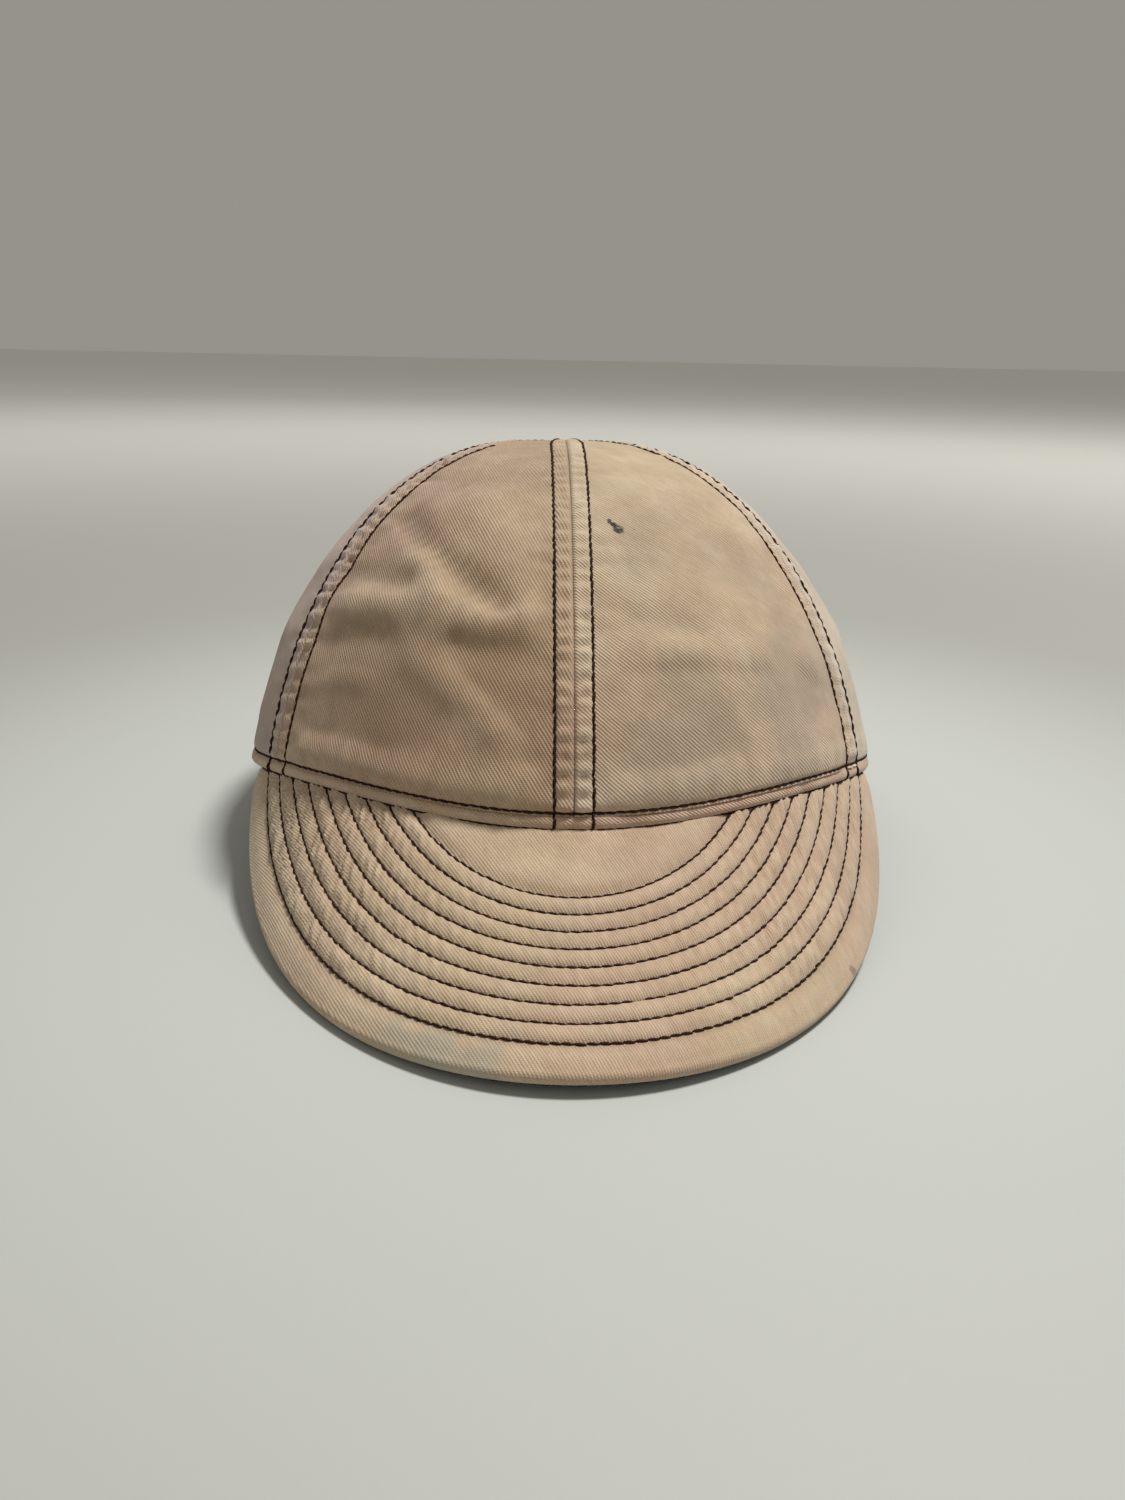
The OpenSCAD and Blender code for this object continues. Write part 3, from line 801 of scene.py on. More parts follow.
def make_band():
    end = 180 - ARCH_HALF - 0.1
    t, p = np.meshgrid(np.linspace(-end, end, 760), np.linspace(0, 1, 11))
    outer = band_point(t, p)
    inner = round_hem(t, 1.3, outer[..., 2])
    run = lengths(outer[5])
    u = np.repeat((run - run[-1] / 2)[None], 11, 0)
    relief = -0.2 + 0.5 * np.sin(np.pi * p) + 0.15 * noise1(u / 2.3, 71)
    sheets("hem_band_cloth", [sheet_data(outer, inner, joined(u, p * 4), relief)],
           BAND_CLOTH, "band_cloth", ["hem_band"])


make_band()

# ---- crown stitching ----


def column_run(name, column, stop=7.0, across_band=True, **kw):
    """The stitches of one topstitched row: across the band and up a panel's column of points."""
    data = PANELS[name]
    rows = data["wide"] > stop
    points, ups = data["outer"][rows, column][2:], data["normal"][rows, column][2:]
    if across_band:
        foot_t = np.full(7, float(data["t"][0, column]))
        points = np.concatenate([band_point(foot_t, np.linspace(0.03, 0.97, 7)), points])
        ups = np.concatenate([outwards(foot_t), ups])
    return dict(points=points, ups=ups, **kw)


PROUD = dict(lift=0.30, sink=-0.06)  # rows seen along the cloth stand up from it


def crown_threads():
    low, end = SEAM_COLUMN, -1 - SEAM_COLUMN
    stitch_object("centre_seam_thread", [
        column_run("front_panel_left", end), column_run("front_panel_right", low),
        column_run("back_panel_left", low, across_band=False),
        column_run("back_panel_right", end, across_band=False)])
    stitch_object("left_seam_thread", [
        column_run("front_panel_left", low, 27.0), column_run("side_panel_left", end, **PROUD),
        column_run("back_panel_right", low, 12.0), column_run("side_panel_right", end, 12.0)])
    stitch_object("right_seam_thread", [
        column_run("front_panel_right", end, 9.0), column_run("side_panel_right", low, **PROUD),
        column_run("back_panel_left", end, 12.0), column_run("side_panel_left", low, 12.0)])
    points, ups = [], []
    for name in ("back_panel_left", "side_panel_left", "front_panel_left", "front_panel_right",
                 "side_panel_right", "back_panel_right"):
        data = PANELS[name]
        keep = np.abs(data["t"][HEM_ROW]) < 180 - ARCH_HALF - 1.5
        points.append(data["outer"][HEM_ROW][keep])
        ups.append(data["normal"][HEM_ROW][keep])
    points, ups = np.concatenate(points), np.concatenate(ups)
    keep = np.concatenate([[True], np.linalg.norm(np.diff(points, axis=0), axis=1) > 0.02])
    t = np.linspace(-62, 62, 500)
    root, out = band_point(t, 0.02), outwards(t)
    root[:, 2] -= 0.12
    stitch_object("hem_thread", [
        dict(points=points[keep], ups=ups[keep]),
        dict(points=root + out * 0.12, ups=out, radius=0.24, pitch=2.1, lift=0.08)])


crown_threads()

# ---- brim ----

EDGE_R = BRIM_T / 2
BRIM_CLOTH_T = 0.7
ROW_IN, ROW_GAP, ROWS = 6.1, 3.18, 9  # the outermost row's distance from the edge, and the pitch
INNERMOST = ROW_IN + ROW_GAP * (ROWS - 1)


def brim_te(x, y):
    return np.degrees(np.arctan2(x / HALF_W, -y / HALF_L)), np.hypot(x / HALF_W, y / HALF_L)


def brim_z(x, y):
    t, e = brim_te(x, y)
    fall = BRIM_FALL + BRIM_CURL * np.sin(rad(t)) ** 2
    return hem_z(t) - HALF_L * np.clip(e - 1, 0, None) * fall


def brim_place(x, y):
    return joined(x, y, brim_z(x, y))


def brim_up(x, y):
    d = 0.2
    zx = (brim_z(x + d, y) - brim_z(x - d, y)) / (2 * d)
    zy = (brim_z(x, y + d) - brim_z(x, y - d)) / (2 * d)
    return unit(joined(-zx, -zy, 1.0))


class BrimCloth:
    """Lengths along the falling brim, as tables over x and y."""
    CELL = 0.5
    xs = np.linspace(-90, 90, 361)
    ys = np.linspace(-150, -10, 281)

    def __init__(self):
        x, y = np.meshgrid(self.xs, self.ys)
        z = brim_z(x, y)
        along_x = np.cumsum(np.hypot(np.gradient(z, axis=1), np.gradient(x, axis=1)), 1)
        along_y = np.cumsum(np.hypot(np.gradient(z, axis=0), np.gradient(y, axis=0)), 0)
        middle = len(self.xs) // 2
        self.tables = along_x - along_x[:, middle:middle + 1], along_y

    def at(self, x, y):
        i = np.clip((x - self.xs[0]) / self.CELL, 0, len(self.xs) - 1.01)
        j = np.clip((y - self.ys[0]) / self.CELL, 0, len(self.ys) - 1.01)
        i0, j0 = i.astype(int), j.astype(int)
        a, b = i - i0, j - j0
        return joined(*((table[j0, i0] * (1 - a) + table[j0, i0 + 1] * a) * (1 - b)
                        + (table[j0 + 1, i0] * (1 - a) + table[j0 + 1, i0 + 1] * a) * b
                        for table in self.tables))


def brim_rows():
    edge = [EDGE_R, 2.2, 2.9, 3.6, 4.3, 4.9, 5.4, 5.75, 5.95]
    parts = (0, .05, .12, .24, .38, .52, .66, .80, .90, .96)
    channels = [ROW_IN + ROW_GAP * (k + f) for k in range(ROWS - 1) for f in parts]
    inner = INNERMOST + np.array([0, .15, .35, .7, 1.2, 1.9, 2.8, 3.9, 5.0, 6.2, 7.4, 8.6, 9.8,
                                  11, 12.2, 13.3, 14.2, 14.55])
    return np.array(edge + channels + list(inner))


def brim_grid(cols=300):
    """Places of the brim's points: rows at distances from its edge, from one end to the other."""
    theta = np.linspace(0, 175, 3501)
    xs, ys = [], []
    rows = brim_rows()

    def row(r, angle):
        return ((BRIM_HALF_W - r) * np.sin(rad(angle)),
                -BRIM_WIDE_Y - (BRIM_L - r) * np.cos(rad(angle)))

    for r in rows:
        t, e = brim_te(*row(r, theta))
        fits = (e >= BRIM_ROOT_E) & (t <= BRIM_CORNER)
        last = max(int(np.argmin(fits)) - 1, 1)
        x, y = row(r, np.linspace(-theta[last], theta[last], 1200))
        run = lengths(brim_place(x, y))
        at = np.linspace(0, run[-1], cols)
        xs.append(np.interp(at, run, x))
        ys.append(np.interp(at, run, y))
    return rows, np.array(xs), np.array(ys)


BRIM_R, BRIM_X, BRIM_Y = brim_grid()
BRIM_ROW_INDEX = [int(np.argmin(abs(BRIM_R - (ROW_IN + ROW_GAP * k)))) for k in range(ROWS)]


def brim_height(r, x, y, s, puff, pucker, seed):
    """Relief of the stitched cloth at distance r from the edge, s along the row."""
    q = (r - ROW_IN) / ROW_GAP
    inside = (q >= 0) & (q <= ROWS - 1)
    f = np.where(inside, q - np.floor(q), 0)
    channel = np.where(inside, np.floor(q), 0)
    swell = np.where(inside, (4 * f * (1 - f)) ** 0.75, 0)
    away = np.where(q < 0, ROW_IN - r, np.where(q > ROWS - 1, r - INNERMOST, 0))
    outer_swell = np.where(q < 0, step(0, 2.4, away) * (1 - 0.5 * step(3, 4.6, away)), 0)
    inner_swell = np.where(q > ROWS - 1, step(0, 2.6, away) * (1 - 0.35 * step(4, 9, away)), 0)
    wide = 0.85 + 0.25 * noise2(s / 22, channel * 1.7, seed)
    h = -0.42 + puff * (swell + outer_swell + inner_swell) * wide
    # Puckers across each channel, stronger towards the ends and on the right
    side = step(12, 55, np.abs(x)) * np.where(x > 0, 1.15, 1.0)
    ripple = np.sin(2 * np.pi * s / 3.3 + 2.4 * noise2(s / 8, channel * 3.1, seed + 1)
                    + channel * 2.0)
    rough = noise2(s / 1.8, r / 1.6, seed + 2)
    cross = (0.45 * ripple + 0.7 * rough) * pucker * (0.30 + 0.9 * side)
    h = h + cross * np.where(inside, swell, 0.35 * np.exp(-away / 3.0) * step(0, 1, away))
    return h + noise2(x / 24, y / 24, seed + 3) * 0.30 * step(0, 8, r), h + 0.30


def brim_sheet(name, depth, sign, puff, pucker, seed, roll, material, slot, node):
    """The top cloth (sign 1) or the under cloth (sign -1), with its part of the rolled edge.
    roll is the angles of that part, from its far end to the face."""
    x, y = BRIM_X, BRIM_Y
    r = np.repeat(BRIM_R[:, None], x.shape[1], 1)
    top, up = brim_place(x, y), brim_up(x, y)
    s = np.array([lengths(row) - lengths(row)[-1] / 2 for row in top])
    height, fine = brim_height(r, x, y, s, puff, pucker, seed)
    height = height * step(-0.1, 1.2, BRIM_R[-1] - r) * sign
    face = top - up * depth
    outer = face + up * (height * (1 - 0.75 * (1 - step(EDGE_R, 4.5, r))))[..., None]
    inner = face - up * sign * BRIM_CLOTH_T
    out = unit(np.cross(unit(np.gradient(top[0], axis=0)), up[0]))
    centre = top[0] - up[0] * EDGE_R
    rolled, under = [], []
    for a in roll:
        ray = out * np.cos(rad(a)) + up[0] * np.sin(rad(a))
        rolled.append(centre + ray * (EDGE_R + 0.05) + (outer[0] - face[0]) * abs(math.sin(rad(a))))
        under.append(centre + ray * (EDGE_R - BRIM_CLOTH_T))
    outer, inner = np.concatenate([rolled, outer]), np.concatenate([under, inner])
    cloth = BRIM.at(x, y)
    tail = np.array([cloth[0] + out[:, :2] * d
                     for d in EDGE_R * np.pi / 180 * np.abs(np.array(roll) - 90 * sign)])
    cloth = np.concatenate([tail, cloth])
    fine = np.concatenate([np.full((len(roll), x.shape[1]), 0.25), fine])
    normal = np.concatenate([np.repeat(up[:1], len(roll), 0), up]) * sign
    grids = outer, inner, cloth, fine - 0.2
    data = sheet_data(*(grids if sign > 0 else (grid[::-1] for grid in grids)))
    ob = sheets(name, [data], material, slot, [node])
    return outer, normal


BRIM = BrimCloth()
BRIM_CLOTH = twill(
    "brim_twill", (188, 165, 135), (190, 161, 135), (212, 193, 168), (172, 148, 128), tint=0.25,
    ribs=0.62, slope=60.0, pitch=0.60, stains_and_shade=spots(
        brim_place, (-37.0, -132.0, 0.0060, (160, 158, 140), 0.42),
        (-29.0, -137.5, 0.0070, (158, 162, 148), 0.5),
        (-20.0, -141.5, 0.0065, (160, 160, 144), 0.45),
        (79.5, -79.0, 0.0030, (52, 58, 74), 0.9), (62.0, -107.0, 0.0016, (96, 84, 78), 0.6)))
UNDER_CLOTH = twill("under_twill", (186, 190, 190), (178, 182, 186), (210, 212, 210),
                    (150, 152, 152))


def make_brim():
    top_roll, low_roll = range(-8, 77, 12), (-12, -22, -32, -42, -54, -66, -78)
    top, top_up = brim_sheet("brim_top_twill", 0.0, 1, 0.74, 0.52, 81, top_roll, BRIM_CLOTH,
                             "brim_cloth", "brim_top_cloth")
    low, low_up = brim_sheet("brim_under_twill", BRIM_T, -1, 0.30, 0.16, 91, low_roll,
                             UNDER_CLOTH, "under_cloth", "brim_under_cloth")
    rows = [dict(points=top[len(top_roll) + i], ups=top_up[len(top_roll) + i])
            for i in BRIM_ROW_INDEX]
    # A few stitches have come out of the third row from the edge
    half = lengths(rows[2]["points"])[-1] / 2
    rows[2]["gaps"] = [(half + 10.0, half + 13.6)]
    stitch_object("brim_row_thread", rows, radius=0.29)
    under = [dict(points=low[len(low_roll) + i], ups=low_up[len(low_roll) + i])
             for i in BRIM_ROW_INDEX]
    stitch_object("brim_under_thread", under, radius=0.20, lift=0.12)
    lip = low[2]
    edge_up = unit(np.cross(unit(np.gradient(lip, axis=0)), np.array([0, 0, 1.0])) * 0.9
                   + np.array([0, 0, -0.5]))
    stitch_object("brim_edge_thread", [dict(points=lip, ups=edge_up)], radius=0.13, lift=0.06,
                  sink=0.02)


make_brim()

# ---- rear opening and strap ----

STRAP_CLOTH = twill("strap_twill", (188, 164, 138), (192, 160, 136), PALE, ASH)
HOOKS = fastener("hook_tape_surface", (30, 29, 28), (92, 88, 82), 1.5, 0.0005)
LOOPS = fastener("loop_tape_surface", (52, 49, 46), (110, 104, 96), 2.2, 0.0004)
HEM_W = 0.4  # the angle at which the binding's ends meet the hem


def make_binding():
    """Folded cloth that wraps the raw edge of the rear opening."""
    a = np.concatenate([np.zeros(6), np.linspace(0, 180, 150), np.full(6, 180.0)])
    low = np.full_like(a, PANEL_FOOT)
    low[:6] = np.linspace(HEM_W, PANEL_FOOT, 7)[:6]
    low[-6:] = np.linspace(PANEL_FOOT, HEM_W, 7)[1:]
    f = np.array([1, .97, .9, .78, .62, .45, .25, .05, -.15, -.35, -.5, -.65, -.75, -.8])
    aa, ff = np.meshgrid(a, f)
    t = 180 - (ARCH_HALF - 1.7 * ff) * np.cos(rad(aa))
    w = low[None] + (ARCH_TOP - 2 * ff - PANEL_FOOT) * np.sin(rad(aa))
    s = np.repeat(lengths(crown(t[4], w[4]))[None], len(f), 0)
    tuck_in = np.clip((ff - 0.35) / 0.65, 0, 1) ** 2.6
    tuck_out = np.clip((-ff - 0.40) / 0.40, 0, 1) ** 2.6
    fine = 0.10 * noise2(s / 2.4, ff * 2, 301) - 0.16 * bell(ff + 0.3, 0.12)
    k_out = -0.62 + 1.02 * tuck_in + 0.55 * tuck_out - fine
    k_in = np.maximum(np.where(ff > 0.02, 1.35 - 0.75 * tuck_in, 0.9), k_out + 0.05)
    sheets("back_opening_bound_edge", [sheet_data(crown(t, w, k_out), crown(t, w, k_in),
                                                  joined(s, ff * 3), fine * 2)],
           BAND_CLOTH, "band_cloth", ["back_opening_binding"])
    t, w, k = t[9][4:-4], w[9][4:-4], k_out[9][4:-4]  # the row of points that is stitched
    return dict(points=crown(t, w, k), ups=crown_normal(t, w))


def cone(off, a, z):
    """A point off the strap's cone, at angle a round it and height z."""
    r = CONE_R - CONE_LEAN * z + off
    return joined(r * np.cos(rad(a)), CONE_Y + r * np.sin(rad(a)), z)


def strip_grid(a0, a1, z0, h, round0=0.0, round1=0.0, rows=20, pitch=0.8):
    """Angles, heights, lengths and distances from the edge of a strip on the strap's cone, its
    ends rounded to the radii given."""
    length = rad(a1 - a0) * CONE_R
    end = np.array([0, .15, .45, .9, 1.5, 2.2, 3.0])
    x = np.concatenate([end, np.arange(3.8, length - 3.6, pitch), length - end[::-1]])
    cut = np.zeros_like(x)
    for radius, away in ((round0, x), (round1, length - x)):
        d = np.clip(radius - away, 0, radius)
        cut = np.maximum(cut, radius - np.sqrt(radius ** 2 - d ** 2))
    p = np.linspace(0, 1, rows)[:, None]
    z = z0 + cut[None] + (h - 2 * cut[None]) * p
    a = np.repeat((a0 + np.degrees(x / CONE_R))[None], rows, 0)
    xx = np.repeat(x[None], rows, 0)
    edge = np.minimum(np.minimum(z - z0, z0 + h - z), np.minimum(xx, length - xx))
    return a, z, xx, edge


def strip(name, low, high, grid, relief, material, slot, node, body="cap"):
    """A strip between two distances off the cone."""
    a, z, xx, _ = grid
    data = sheet_data(cone(high, a, z), cone(low, a, z), joined(xx, z), relief)
    return sheets(name, [data], material, slot, [node], body=body)


def strip_stitches(off, a0, a1, inset=2.0, rows=("low", "high", "start", "end")):
    """Runs of stitches round a strip, inset from its edges."""
    a0, a1 = a0 + math.degrees(inset / CONE_R), a1 - math.degrees(inset / CONE_R)
    z0, z1 = STRAP_Z + inset, STRAP_Z + STRAP_H - inset
    lines = {"low": (a0, a1, z0, z0, 120), "high": (a0, a1, z1, z1, 120),
             "start": (a0, a0, z0, z1, 30), "end": (a1, a1, z0, z1, 30)}
    runs = []
    for key in rows:
        start, stop, bottom, top, count = lines[key]
        a, z = np.linspace(start, stop, count), np.linspace(bottom, top, count)
        up = unit(joined(np.cos(rad(a)), np.sin(rad(a)), CONE_LEAN))
        runs.append(dict(points=cone(off, a, z), ups=up))
    return runs


def hemmed(edge):
    """Relief of a strip that is stitched round, 2 mm from its edge."""
    return -0.22 * bell(edge - 2.0, 0.4) - 0.35 * (1 - step(0, 0.6, edge))


def patch_edge(edge):
    return -0.2 * (1 - step(0, 0.8, edge))


def make_strap():
    binding_row = make_binding()
    z0, h = STRAP_Z, STRAP_H
    grid = a, z, xx, edge = strip_grid(86, 130, z0, h, round0=4.0)
    relief = hemmed(edge) + 0.10 * noise2(xx / 3.0, z / 3.0, 311) * step(0, 2, edge)
    strip("strap_anchor_cloth", 0.9 + np.minimum(relief, 0) * 0.5, 1.7 + relief, grid, relief,
          STRAP_CLOTH, "crown_cloth", "strap_anchor_tab")
    fine = dict(rows=26, pitch=0.6)
    grid = a, z, xx, edge = strip_grid(88, 112, z0 + 1.5, h - 3, 2.5, 2.5, **fine)
    bristle = -0.10 + 0.10 * noise2(xx / 0.7, z / 0.7, 321) + patch_edge(edge)
    strip("hook_tape", 1.7 + np.minimum(bristle, 0) * 0.5, 2.3 + bristle, grid, bristle, HOOKS,
          "hook_tape", "hook_patch")
    # Two folded layers under the strap's stitched end
    grid = a, z, xx, edge = strip_grid(51, 58.7, z0 + 0.3, h - 0.6)
    relief = -0.5 * (1 - step(0, 0.7, edge)) - 0.9 * (1 - step(0, 4.5, xx))
    strip("strap_folded_end", 0.9 + np.minimum(relief, 0) * 0.5, 2.95 + relief, grid, relief,
          STRAP_CLOTH, "crown_cloth", "strap_sewn_end")
    # The strap: one strip of cloth
    grid = a, z, xx, edge = strip_grid(50.4, 113, z0, h, round1=5.0)
    relief = hemmed(edge) + 0.14 * noise2(xx / 4.0, z / 4.0, 331) * step(0, 2, edge)
    drop = 1.95 * (1.0 - step(51.0, 54.5, a))  # it starts flat on the panel
    strap = strip("adjuster_strap_cloth", 3.1 - drop, 4.1 + relief - drop, grid, relief,
                  STRAP_CLOTH, "crown_cloth", "adjuster_strap", body=None)
    grid = a, z, xx, edge = strip_grid(86, 111, z0 + 1.5, h - 3, 2.5, 4.0, **fine)
    pile = 0.10 * noise2(xx / 0.8, z / 0.8, 341) + patch_edge(edge)
    strip("loop_tape", 2.62 - pile, 3.1, grid, pile, LOOPS, "loop_tape", "loop_patch",
          body="strap")
    runs = strip_stitches(3.95, 55.2, 113.1, rows=("low", "high", "end"))
    thread = stitch_object("strap_thread", runs, body=None, radius=0.22, pitch=2.2)
    for piece in (strap, thread):
        tuple(stood(cone(3.6, 57.6, 13.0)))
        tuple(stood(cone(3.6, 61.4, 13.0)))
        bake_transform(piece)
    runs = (strip_stitches(3.95, 52.6, 58.4) + strip_stitches(1.55, 113.5, 129.0)
            + strip_stitches(1.55, 86, 131, rows=("low", "high")) + [binding_row])
    stitch_object("strap_anchor_thread", runs, radius=0.22, pitch=2.2)


# ---- inside of the crown ----

TAPE_CLOTH = plain_weave("seam_tape_weave", (188, 176, 152), (150, 136, 112), 0.55)
SWEAT_CLOTH = plain_weave("sweatband_weave", (158, 140, 116), (118, 100, 80), 0.62)
TAPE_HALF = 6.0
SWEAT_ROWS = (4.6, 24.4)  # heights of the sweatband's stitches over the hem


def tape_data(t0, w0, seed):
    """A tape over one seam, its two rows of stitches, and its length."""
    w, x = np.meshgrid(np.linspace(w0, 84, 150), np.linspace(-TAPE_HALF, TAPE_HALF, 13),
                       indexing="ij")
    t = t0 + x / TAPE_HALF * np.degrees(
        np.arcsin(TAPE_HALF / (HALF_W * np.cos(rad(w)) ** CLOSE_POWER)))
    s = np.repeat(lengths(crown(t[:, 6], w[:, 6]))[:, None], 13, 1)
    relief = (0.10 * noise2(s / 2.6, x / 5, seed) + 0.08 * step(4.9, 5.6, np.abs(x))
              + -0.10 * bell(np.abs(x) - SEAM_ROW, 0.5))
    # The inner face is the one that shows
    data = sheet_data(crown(t, w, 1.25), crown(t, w, 1.62 + relief), joined(x, s), relief)
    runs = [dict(points=crown(tt, ww, 1.60), ups=-crown_normal(tt, ww))
            for tt, ww in ((t[4:-3, c], w[4:-3, c]) for c in (2, 10))]
    return data, runs, s.max()


def make_tapes():
    thread = []
    for name, first, second, foot in (("centre", 0, 180, ARCH_TOP + 2),
                                      ("left", -SIDE_SEAM, BACK_SEAM, PANEL_FOOT),
                                      ("right", SIDE_SEAM, -BACK_SEAM, PANEL_FOOT)):
        a, run_a, long_a = tape_data(first, PANEL_FOOT, 401)
        b, run_b, long_b = tape_data(second, foot, 402)
        ob = sheets(f"{name}_tape_cloth", [a, b], TAPE_CLOTH, "seam_tape", [f"{name}_seam_tape"])
        thread += run_a + run_b
    stitch_object("tape_thread", thread, radius=0.16, lift=0.06)


def make_sweatband():
    end = 180 - ARCH_HALF - 2
    t, w = np.meshgrid(np.linspace(-end, end, 620), np.linspace(1, 25, 30))
    base = crown(t, w, 1.85)
    s = np.repeat((lengths(base[10]) - lengths(base[10])[-1] / 2)[None], 30, 0)
    z = base[..., 2] - hem_z(t)
    relief = (0.18 * (1 - step(4.2, 5.2, z)) + 0.14 * step(24.0, 25.0, z)
              - 0.16 * sum(bell(z - row, 0.5) for row in SWEAT_ROWS)
              + 0.16 * noise2(s / 5.0, z / 14.0, 411) + 0.07 * noise2(s / 1.8, z / 4.0, 412))
    data = sheet_data(base, crown(t, w, 2.5 + np.clip(relief, -0.2, 0.35)), joined(s, z), relief)
    ob = sheets("sweatband_cloth", [data], SWEAT_CLOTH, "sweatband_cloth", ["sweatband"])
    line = np.linspace(-end + 1, end - 1, 700)
    runs = [dict(points=crown(line, at, 2.55), ups=-crown_normal(line, at))
            for at in (angle_at(row) for row in SWEAT_ROWS)]
    stitch_object("sweatband_thread", runs, radius=0.18, lift=0.08)


# ---- insert ----

SHELL_PLASTIC = moulded("shell_plastic_surface", (34, 34, 37), (52, 52, 55), 0.42)
EDGE_RUBBER = moulded("edge_rubber_surface", (48, 48, 48), (70, 69, 67), 0.62, 900.0, 0.0001)
FOAM = foam_surface()
PAD_K = SHELL_K + SHELL_T + 0.25  # the depth of the pads' backs
PAD_END = np.array([0, .2, .6, 1.2, 2.0, 3.0])  # points beside a pad's edge


def insert_foot(t):
    return angle_at(26 + 10 * (1 - np.cos(rad(t))) + 6 * np.sin(rad(t)) ** 2, SHELL_K)


def vent_axes(t):
    """A vent slot's centre, long and short axes, as OpenSCAD's turn about Z and Y leaves them,
    and the shell's normal there."""
    centre, e = crown(t, VENT_ANGLE, SHELL_K), 0.5
    across = unit(crown(t + e, VENT_ANGLE, SHELL_K) - crown(t - e, VENT_ANGLE, SHELL_K))
    along = unit(crown(t, VENT_ANGLE + e, SHELL_K) - crown(t, VENT_ANGLE - e, SHELL_K))
    normal = unit(np.cross(across, along))
    pitch, yaw = math.acos(normal[2]), math.atan2(normal[1], normal[0])
    long = np.array([math.cos(pitch) * math.cos(yaw), math.cos(pitch) * math.sin(yaw),
                     -math.sin(pitch)])
    return centre, long, np.array([-math.sin(yaw), math.cos(yaw), 0.0]), normal


def make_shell():
    cols, rows = 480, 96
    t = np.linspace(0, 360, cols, endpoint=False)[None] + np.zeros((rows, 1))
    foot = insert_foot(t)
    w = foot + (89.9 - foot) * np.linspace(0, 1, rows)[:, None]
    face = crown(t, w, SHELL_K)
    relief = np.zeros_like(t)
    for vent in VENTS:  # a raised lip round each slot
        centre, long, short, _ = vent_axes(vent)
        x = np.clip(np.abs((face - centre) @ long) - (VENT_L - VENT_W) / 2, 0, None)
        relief += 0.55 * bell(np.hypot(x, (face - centre) @ short) - VENT_W / 2 - 1.6, 1.0)
    for rib in (-90, -33, 0, 33, 90, 180):
        apart = np.abs((t - rib + 180) % 360 - 180) * np.cos(rad(w)) ** CLOSE_POWER * 1.6
        relief += 0.7 * (1 - step(1.6, 2.8, apart)) * step(38, 44, w) * (1 - step(80, 84, w))
    relief += 0.6 * (1 - step(0.8, 1.6, np.abs(w - 82)))
    outer = face + crown_normal(t, w) * np.clip(relief, 0, 0.9)[..., None]
    inner = crown(t, w, SHELL_K + SHELL_T)
    outer[-1], inner[-1] = outer[-1].mean(0), inner[-1].mean(0)
    data = sheet_data(outer, inner, None, relief, ring=True, weld_last=True)
    shell = sheets("shell_moulding", [data], SHELL_PLASTIC, "shell_plastic", ["insert_shell"],
                   body="insert")
    cutters, faces = [], []
    a = np.concatenate([np.linspace(-90, 90, 17), np.linspace(90, 270, 17)])
    n = len(a)
    for i, vent in enumerate(VENTS):
        _, long, short, normal = vent_axes(vent)
        centre = crown(vent, VENT_ANGLE, SHELL_K + SHELL_T / 2)
        side = np.where(np.arange(n) < n // 2, 1, -1) * (VENT_L - VENT_W) / 2
        ring = (long * (side + VENT_W / 2 * np.cos(rad(a)))[:, None]
                + short * (VENT_W / 2 * np.sin(rad(a)))[:, None])
        cutters.append(np.concatenate([centre + ring - normal * 6, centre + ring + normal * 6]))
        low = 2 * n * i + np.arange(n)
        faces += quads(2, n, True, 2 * n * i).tolist() + [low[::-1].tolist(), (low + n).tolist()]
    cutter = mesh_object("vent_cutter", np.concatenate(cutters), faces, sharp=0, body="insert")
    cut = shell.modifiers.new("vents", "BOOLEAN")
    cut.operation, cut.solver, cut.object = "DIFFERENCE", "EXACT", cutter
    mesh = bpy.data.meshes.new_from_object(
        shell.evaluated_get(bpy.context.evaluated_depsgraph_get()))
    shell.modifiers.clear()
    shell.data = mesh
    bpy.data.objects.remove(cutter)
    mesh.set_sharp_from_angle(angle=math.radians(40))


def make_trim():
    """A soft channel wrapped round the shell's lower edge, as one closed profile."""
    t = np.linspace(0, 360, 480, endpoint=False)
    k0, k1 = SHELL_K - 0.62, SHELL_K + SHELL_T + 0.62
    a, b = SHELL_K - 0.12, SHELL_K + SHELL_T + 0.12
    profile = [(k0 + .15, 3.0), (k0, 2.7), (k0, 1.6), (k0, 0.4), (k0 + .1, -.35), (k0 + .45, -.8),
               (k0 + 1.0, -1.0), (k1 - 1.0, -1.0), (k1 - .45, -.8), (k1 - .1, -.35), (k1, 0.4),
               (k1, 1.6), (k1, 2.7), (k1 - .15, 3.0), (b + .05, 3.0), (b, 2.7), (b, 1.2), (b, -.1),
               (a, -.1), (a, 1.2), (a, 2.7), (a - .05, 3.0)]
    rows = np.array([crown(t, insert_foot(t) + w, k) for k, w in profile])
    n, cols = len(profile), len(t)
    faces = quads(n, cols, True)[:, ::-1].tolist()
    j = np.arange(cols)
    k = (j + 1) % cols
    faces += joined(k, (n - 1) * cols + k, (n - 1) * cols + j, j).tolist()
    ob = mesh_object("shell_edge_channel", rows.reshape(-1, 3), faces, sharp=45, body="insert")
    finished(ob, EDGE_RUBBER, ["shell_edge_trim"])


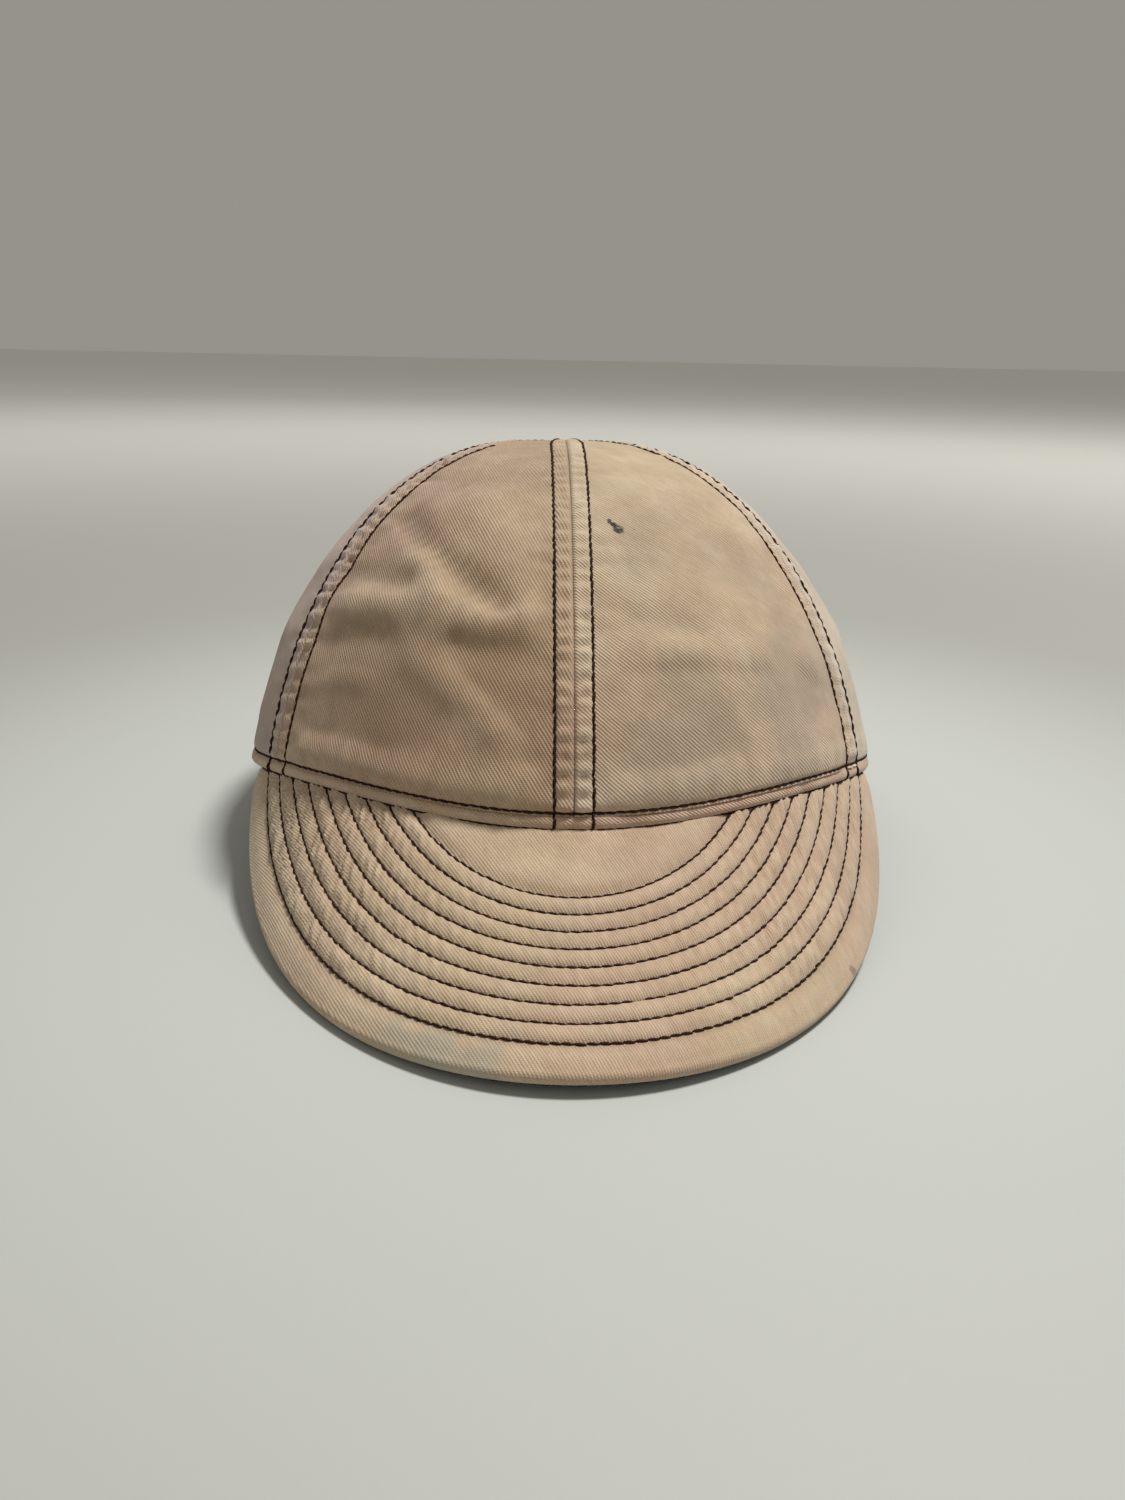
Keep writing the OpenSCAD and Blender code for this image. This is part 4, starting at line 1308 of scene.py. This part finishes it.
def make_pad(node, t, w, u, v, edge, seed, **kw):
    """A pad between its back and a soft face, whose height comes from the distance to its edge."""
    round_over = np.sqrt(np.clip(1 - (1 - np.clip(edge / 2.6, 0, 1)) ** 2, 0, 1))
    dimple = 0.0
    for du, dv in ((0, 0), (8.5, 7.5)):
        near = np.hypot((u + du + 8.5) % 17 - 8.5, (v + dv + 7.5) % 15 - 7.5)
        dimple = dimple + np.exp(-(near / 2.1) ** 4)
    wave = 0.10 * noise2(u / 9, v / 9, seed)
    height = (PAD_T - 0.1) * round_over - (1.3 * dimple - wave) * step(4.0, 6.5, edge)
    back, face = crown(t, w, PAD_K), crown(t, w, PAD_K + 0.1 + height)
    if kw:  # a round pad's last row is one point
        back[-1], face[-1] = back[-1].mean(0), face[-1].mean(0)
    ob = sheets(node + "_skin", [sheet_data(back, face, joined(u, v), **kw)], FOAM, "foam", [node],
                body="insert", sharp=60)


def pad_steps(total):
    return np.concatenate([PAD_END, np.arange(4, total - 3.5, 0.9), total - PAD_END[::-1]])


def make_edge_pad(node, t0, t1, w1, seed):
    dense = np.linspace(t0, t1, 300)
    across = lengths(crown(dense, insert_foot(dense) + 10, PAD_K))
    total, x = across[-1], pad_steps(across[-1])
    t = np.interp(x, across, dense)
    foot, foot_mid = insert_foot(t) + 4, insert_foot((t0 + t1) / 2) + 4
    tall = float(lengths(crown((t0 + t1) / 2, np.linspace(foot_mid, w1, 80), PAD_K))[-1])
    y = pad_steps(tall)
    corner = 9.0
    d = np.clip(corner - np.minimum(x, total - x), 0, corner)
    cut = (corner - np.sqrt(corner ** 2 - d ** 2)) / tall
    share = cut[None] + (1 - 2 * cut[None]) * (y / tall)[:, None]
    w = foot[None] + (w1 - foot[None]) * share
    t, u = np.repeat(t[None], len(y), 0), np.repeat(x[None], len(y), 0)
    v = share * tall
    edge = np.minimum(np.minimum(u, total - u),
                      np.minimum(v - cut[None] * tall, (1 - cut[None]) * tall - v))
    make_pad(node, t, w, u, v, edge, seed)


def make_crown_pad():
    ws = np.linspace(66, 89.9, 100)
    run = lengths(crown(0, ws, PAD_K))
    y = np.concatenate([PAD_END, np.arange(4, run[-1], 0.9), run[-1:]])
    t, w = np.meshgrid(np.linspace(0, 360, 240, endpoint=False), np.interp(y, run, ws))
    back = crown(t, w, PAD_K)
    make_pad("crown_foam_pad", t, w, back[..., 0], back[..., 1],
             np.repeat(y[:, None], t.shape[1], 1), 521, ring=True, weld_last=True)


make_strap()
make_tapes()
make_sweatband()
make_shell()
make_trim()
make_edge_pad("front_foam_pad", -34, 34, 47, 501)
make_edge_pad("left_foam_pad", -116, -68, 58, 502)
make_edge_pad("right_foam_pad", 68, 116, 58, 503)
make_edge_pad("rear_foam_pad", 152, 208, 60, 504)
make_crown_pad()
for cad_slot in frame["nodes"]["brim_board"].material_slots:
    cad_slot.material = board_surface()

# ---- floor and lights ----

FLOOR_HALF = 12.0


def make_stage():
    mesh = bpy.data.meshes.new("floor")
    corners = [(x * FLOOR_HALF, y * FLOOR_HALF, 0) for x, y in ((-1, -1), (1, -1), (1, 1), (-1, 1))]
    mesh.from_pydata(corners, [], [(0, 1, 2, 3)])
    g = Graph("floor_surface")
    place = g.place()
    away = g("VectorMath", place, operation="LENGTH").outputs["Value"]
    # Painted light and shade on the floor: paler near the cap, darker in a ring from about 0.11 to 0.36 m out, and
    # paler again towards 1.8 m.
    colour = g.mix(g.ramp(away, 0.11, 0.34), srgb((183, 186, 183)), srgb((157, 157, 151)))
    colour = g.mix(g.ramp(away, 0.36, 1.8), colour, srgb((238, 237, 232)))
    mesh.materials.append(g.finish(colour, 0.55, g.noise(place, 300.0, 3.0), 0.0002, 0.2))
    linked("floor", mesh)


def area_light(name, place, target, size, power, colour=(1, 1, 1)):
    data = bpy.data.lights.new(name, "AREA")
    data.shape, data.size, data.energy, data.color = "DISK", size, power, colour
    ob = linked(name, data)
    ob.location = place
    ob.rotation_mode = "QUATERNION"
    ob.rotation_quaternion = (Vector(target) - Vector(place)).to_track_quat("-Z", "Y")


def make_lights():
    area_light("key", (0.66, 0.20, 1.90), (0, -0.03, 0.05), 0.40, 42.0, (1.0, 0.985, 0.955))
    area_light("fill", (-1.2, -2.0, 1.2), (0, 0, 0.05), 2.0, 1.6, (1.0, 0.985, 0.96))
    area_light("back", (-0.4, 2.0, 1.2), (0, 0, 0.05), 1.6, 1.6)
    world = bpy.data.worlds.new("studio")
    bpy.context.scene.world = world
    world.use_nodes = True
    shade = world.node_tree.nodes["Background"]
    shade.inputs["Color"].default_value = (*srgb((180, 177, 168)), 1)
    shade.inputs["Strength"].default_value = 0.66
    bpy.context.scene.view_settings.view_transform = "Standard"


make_stage()
make_lights()
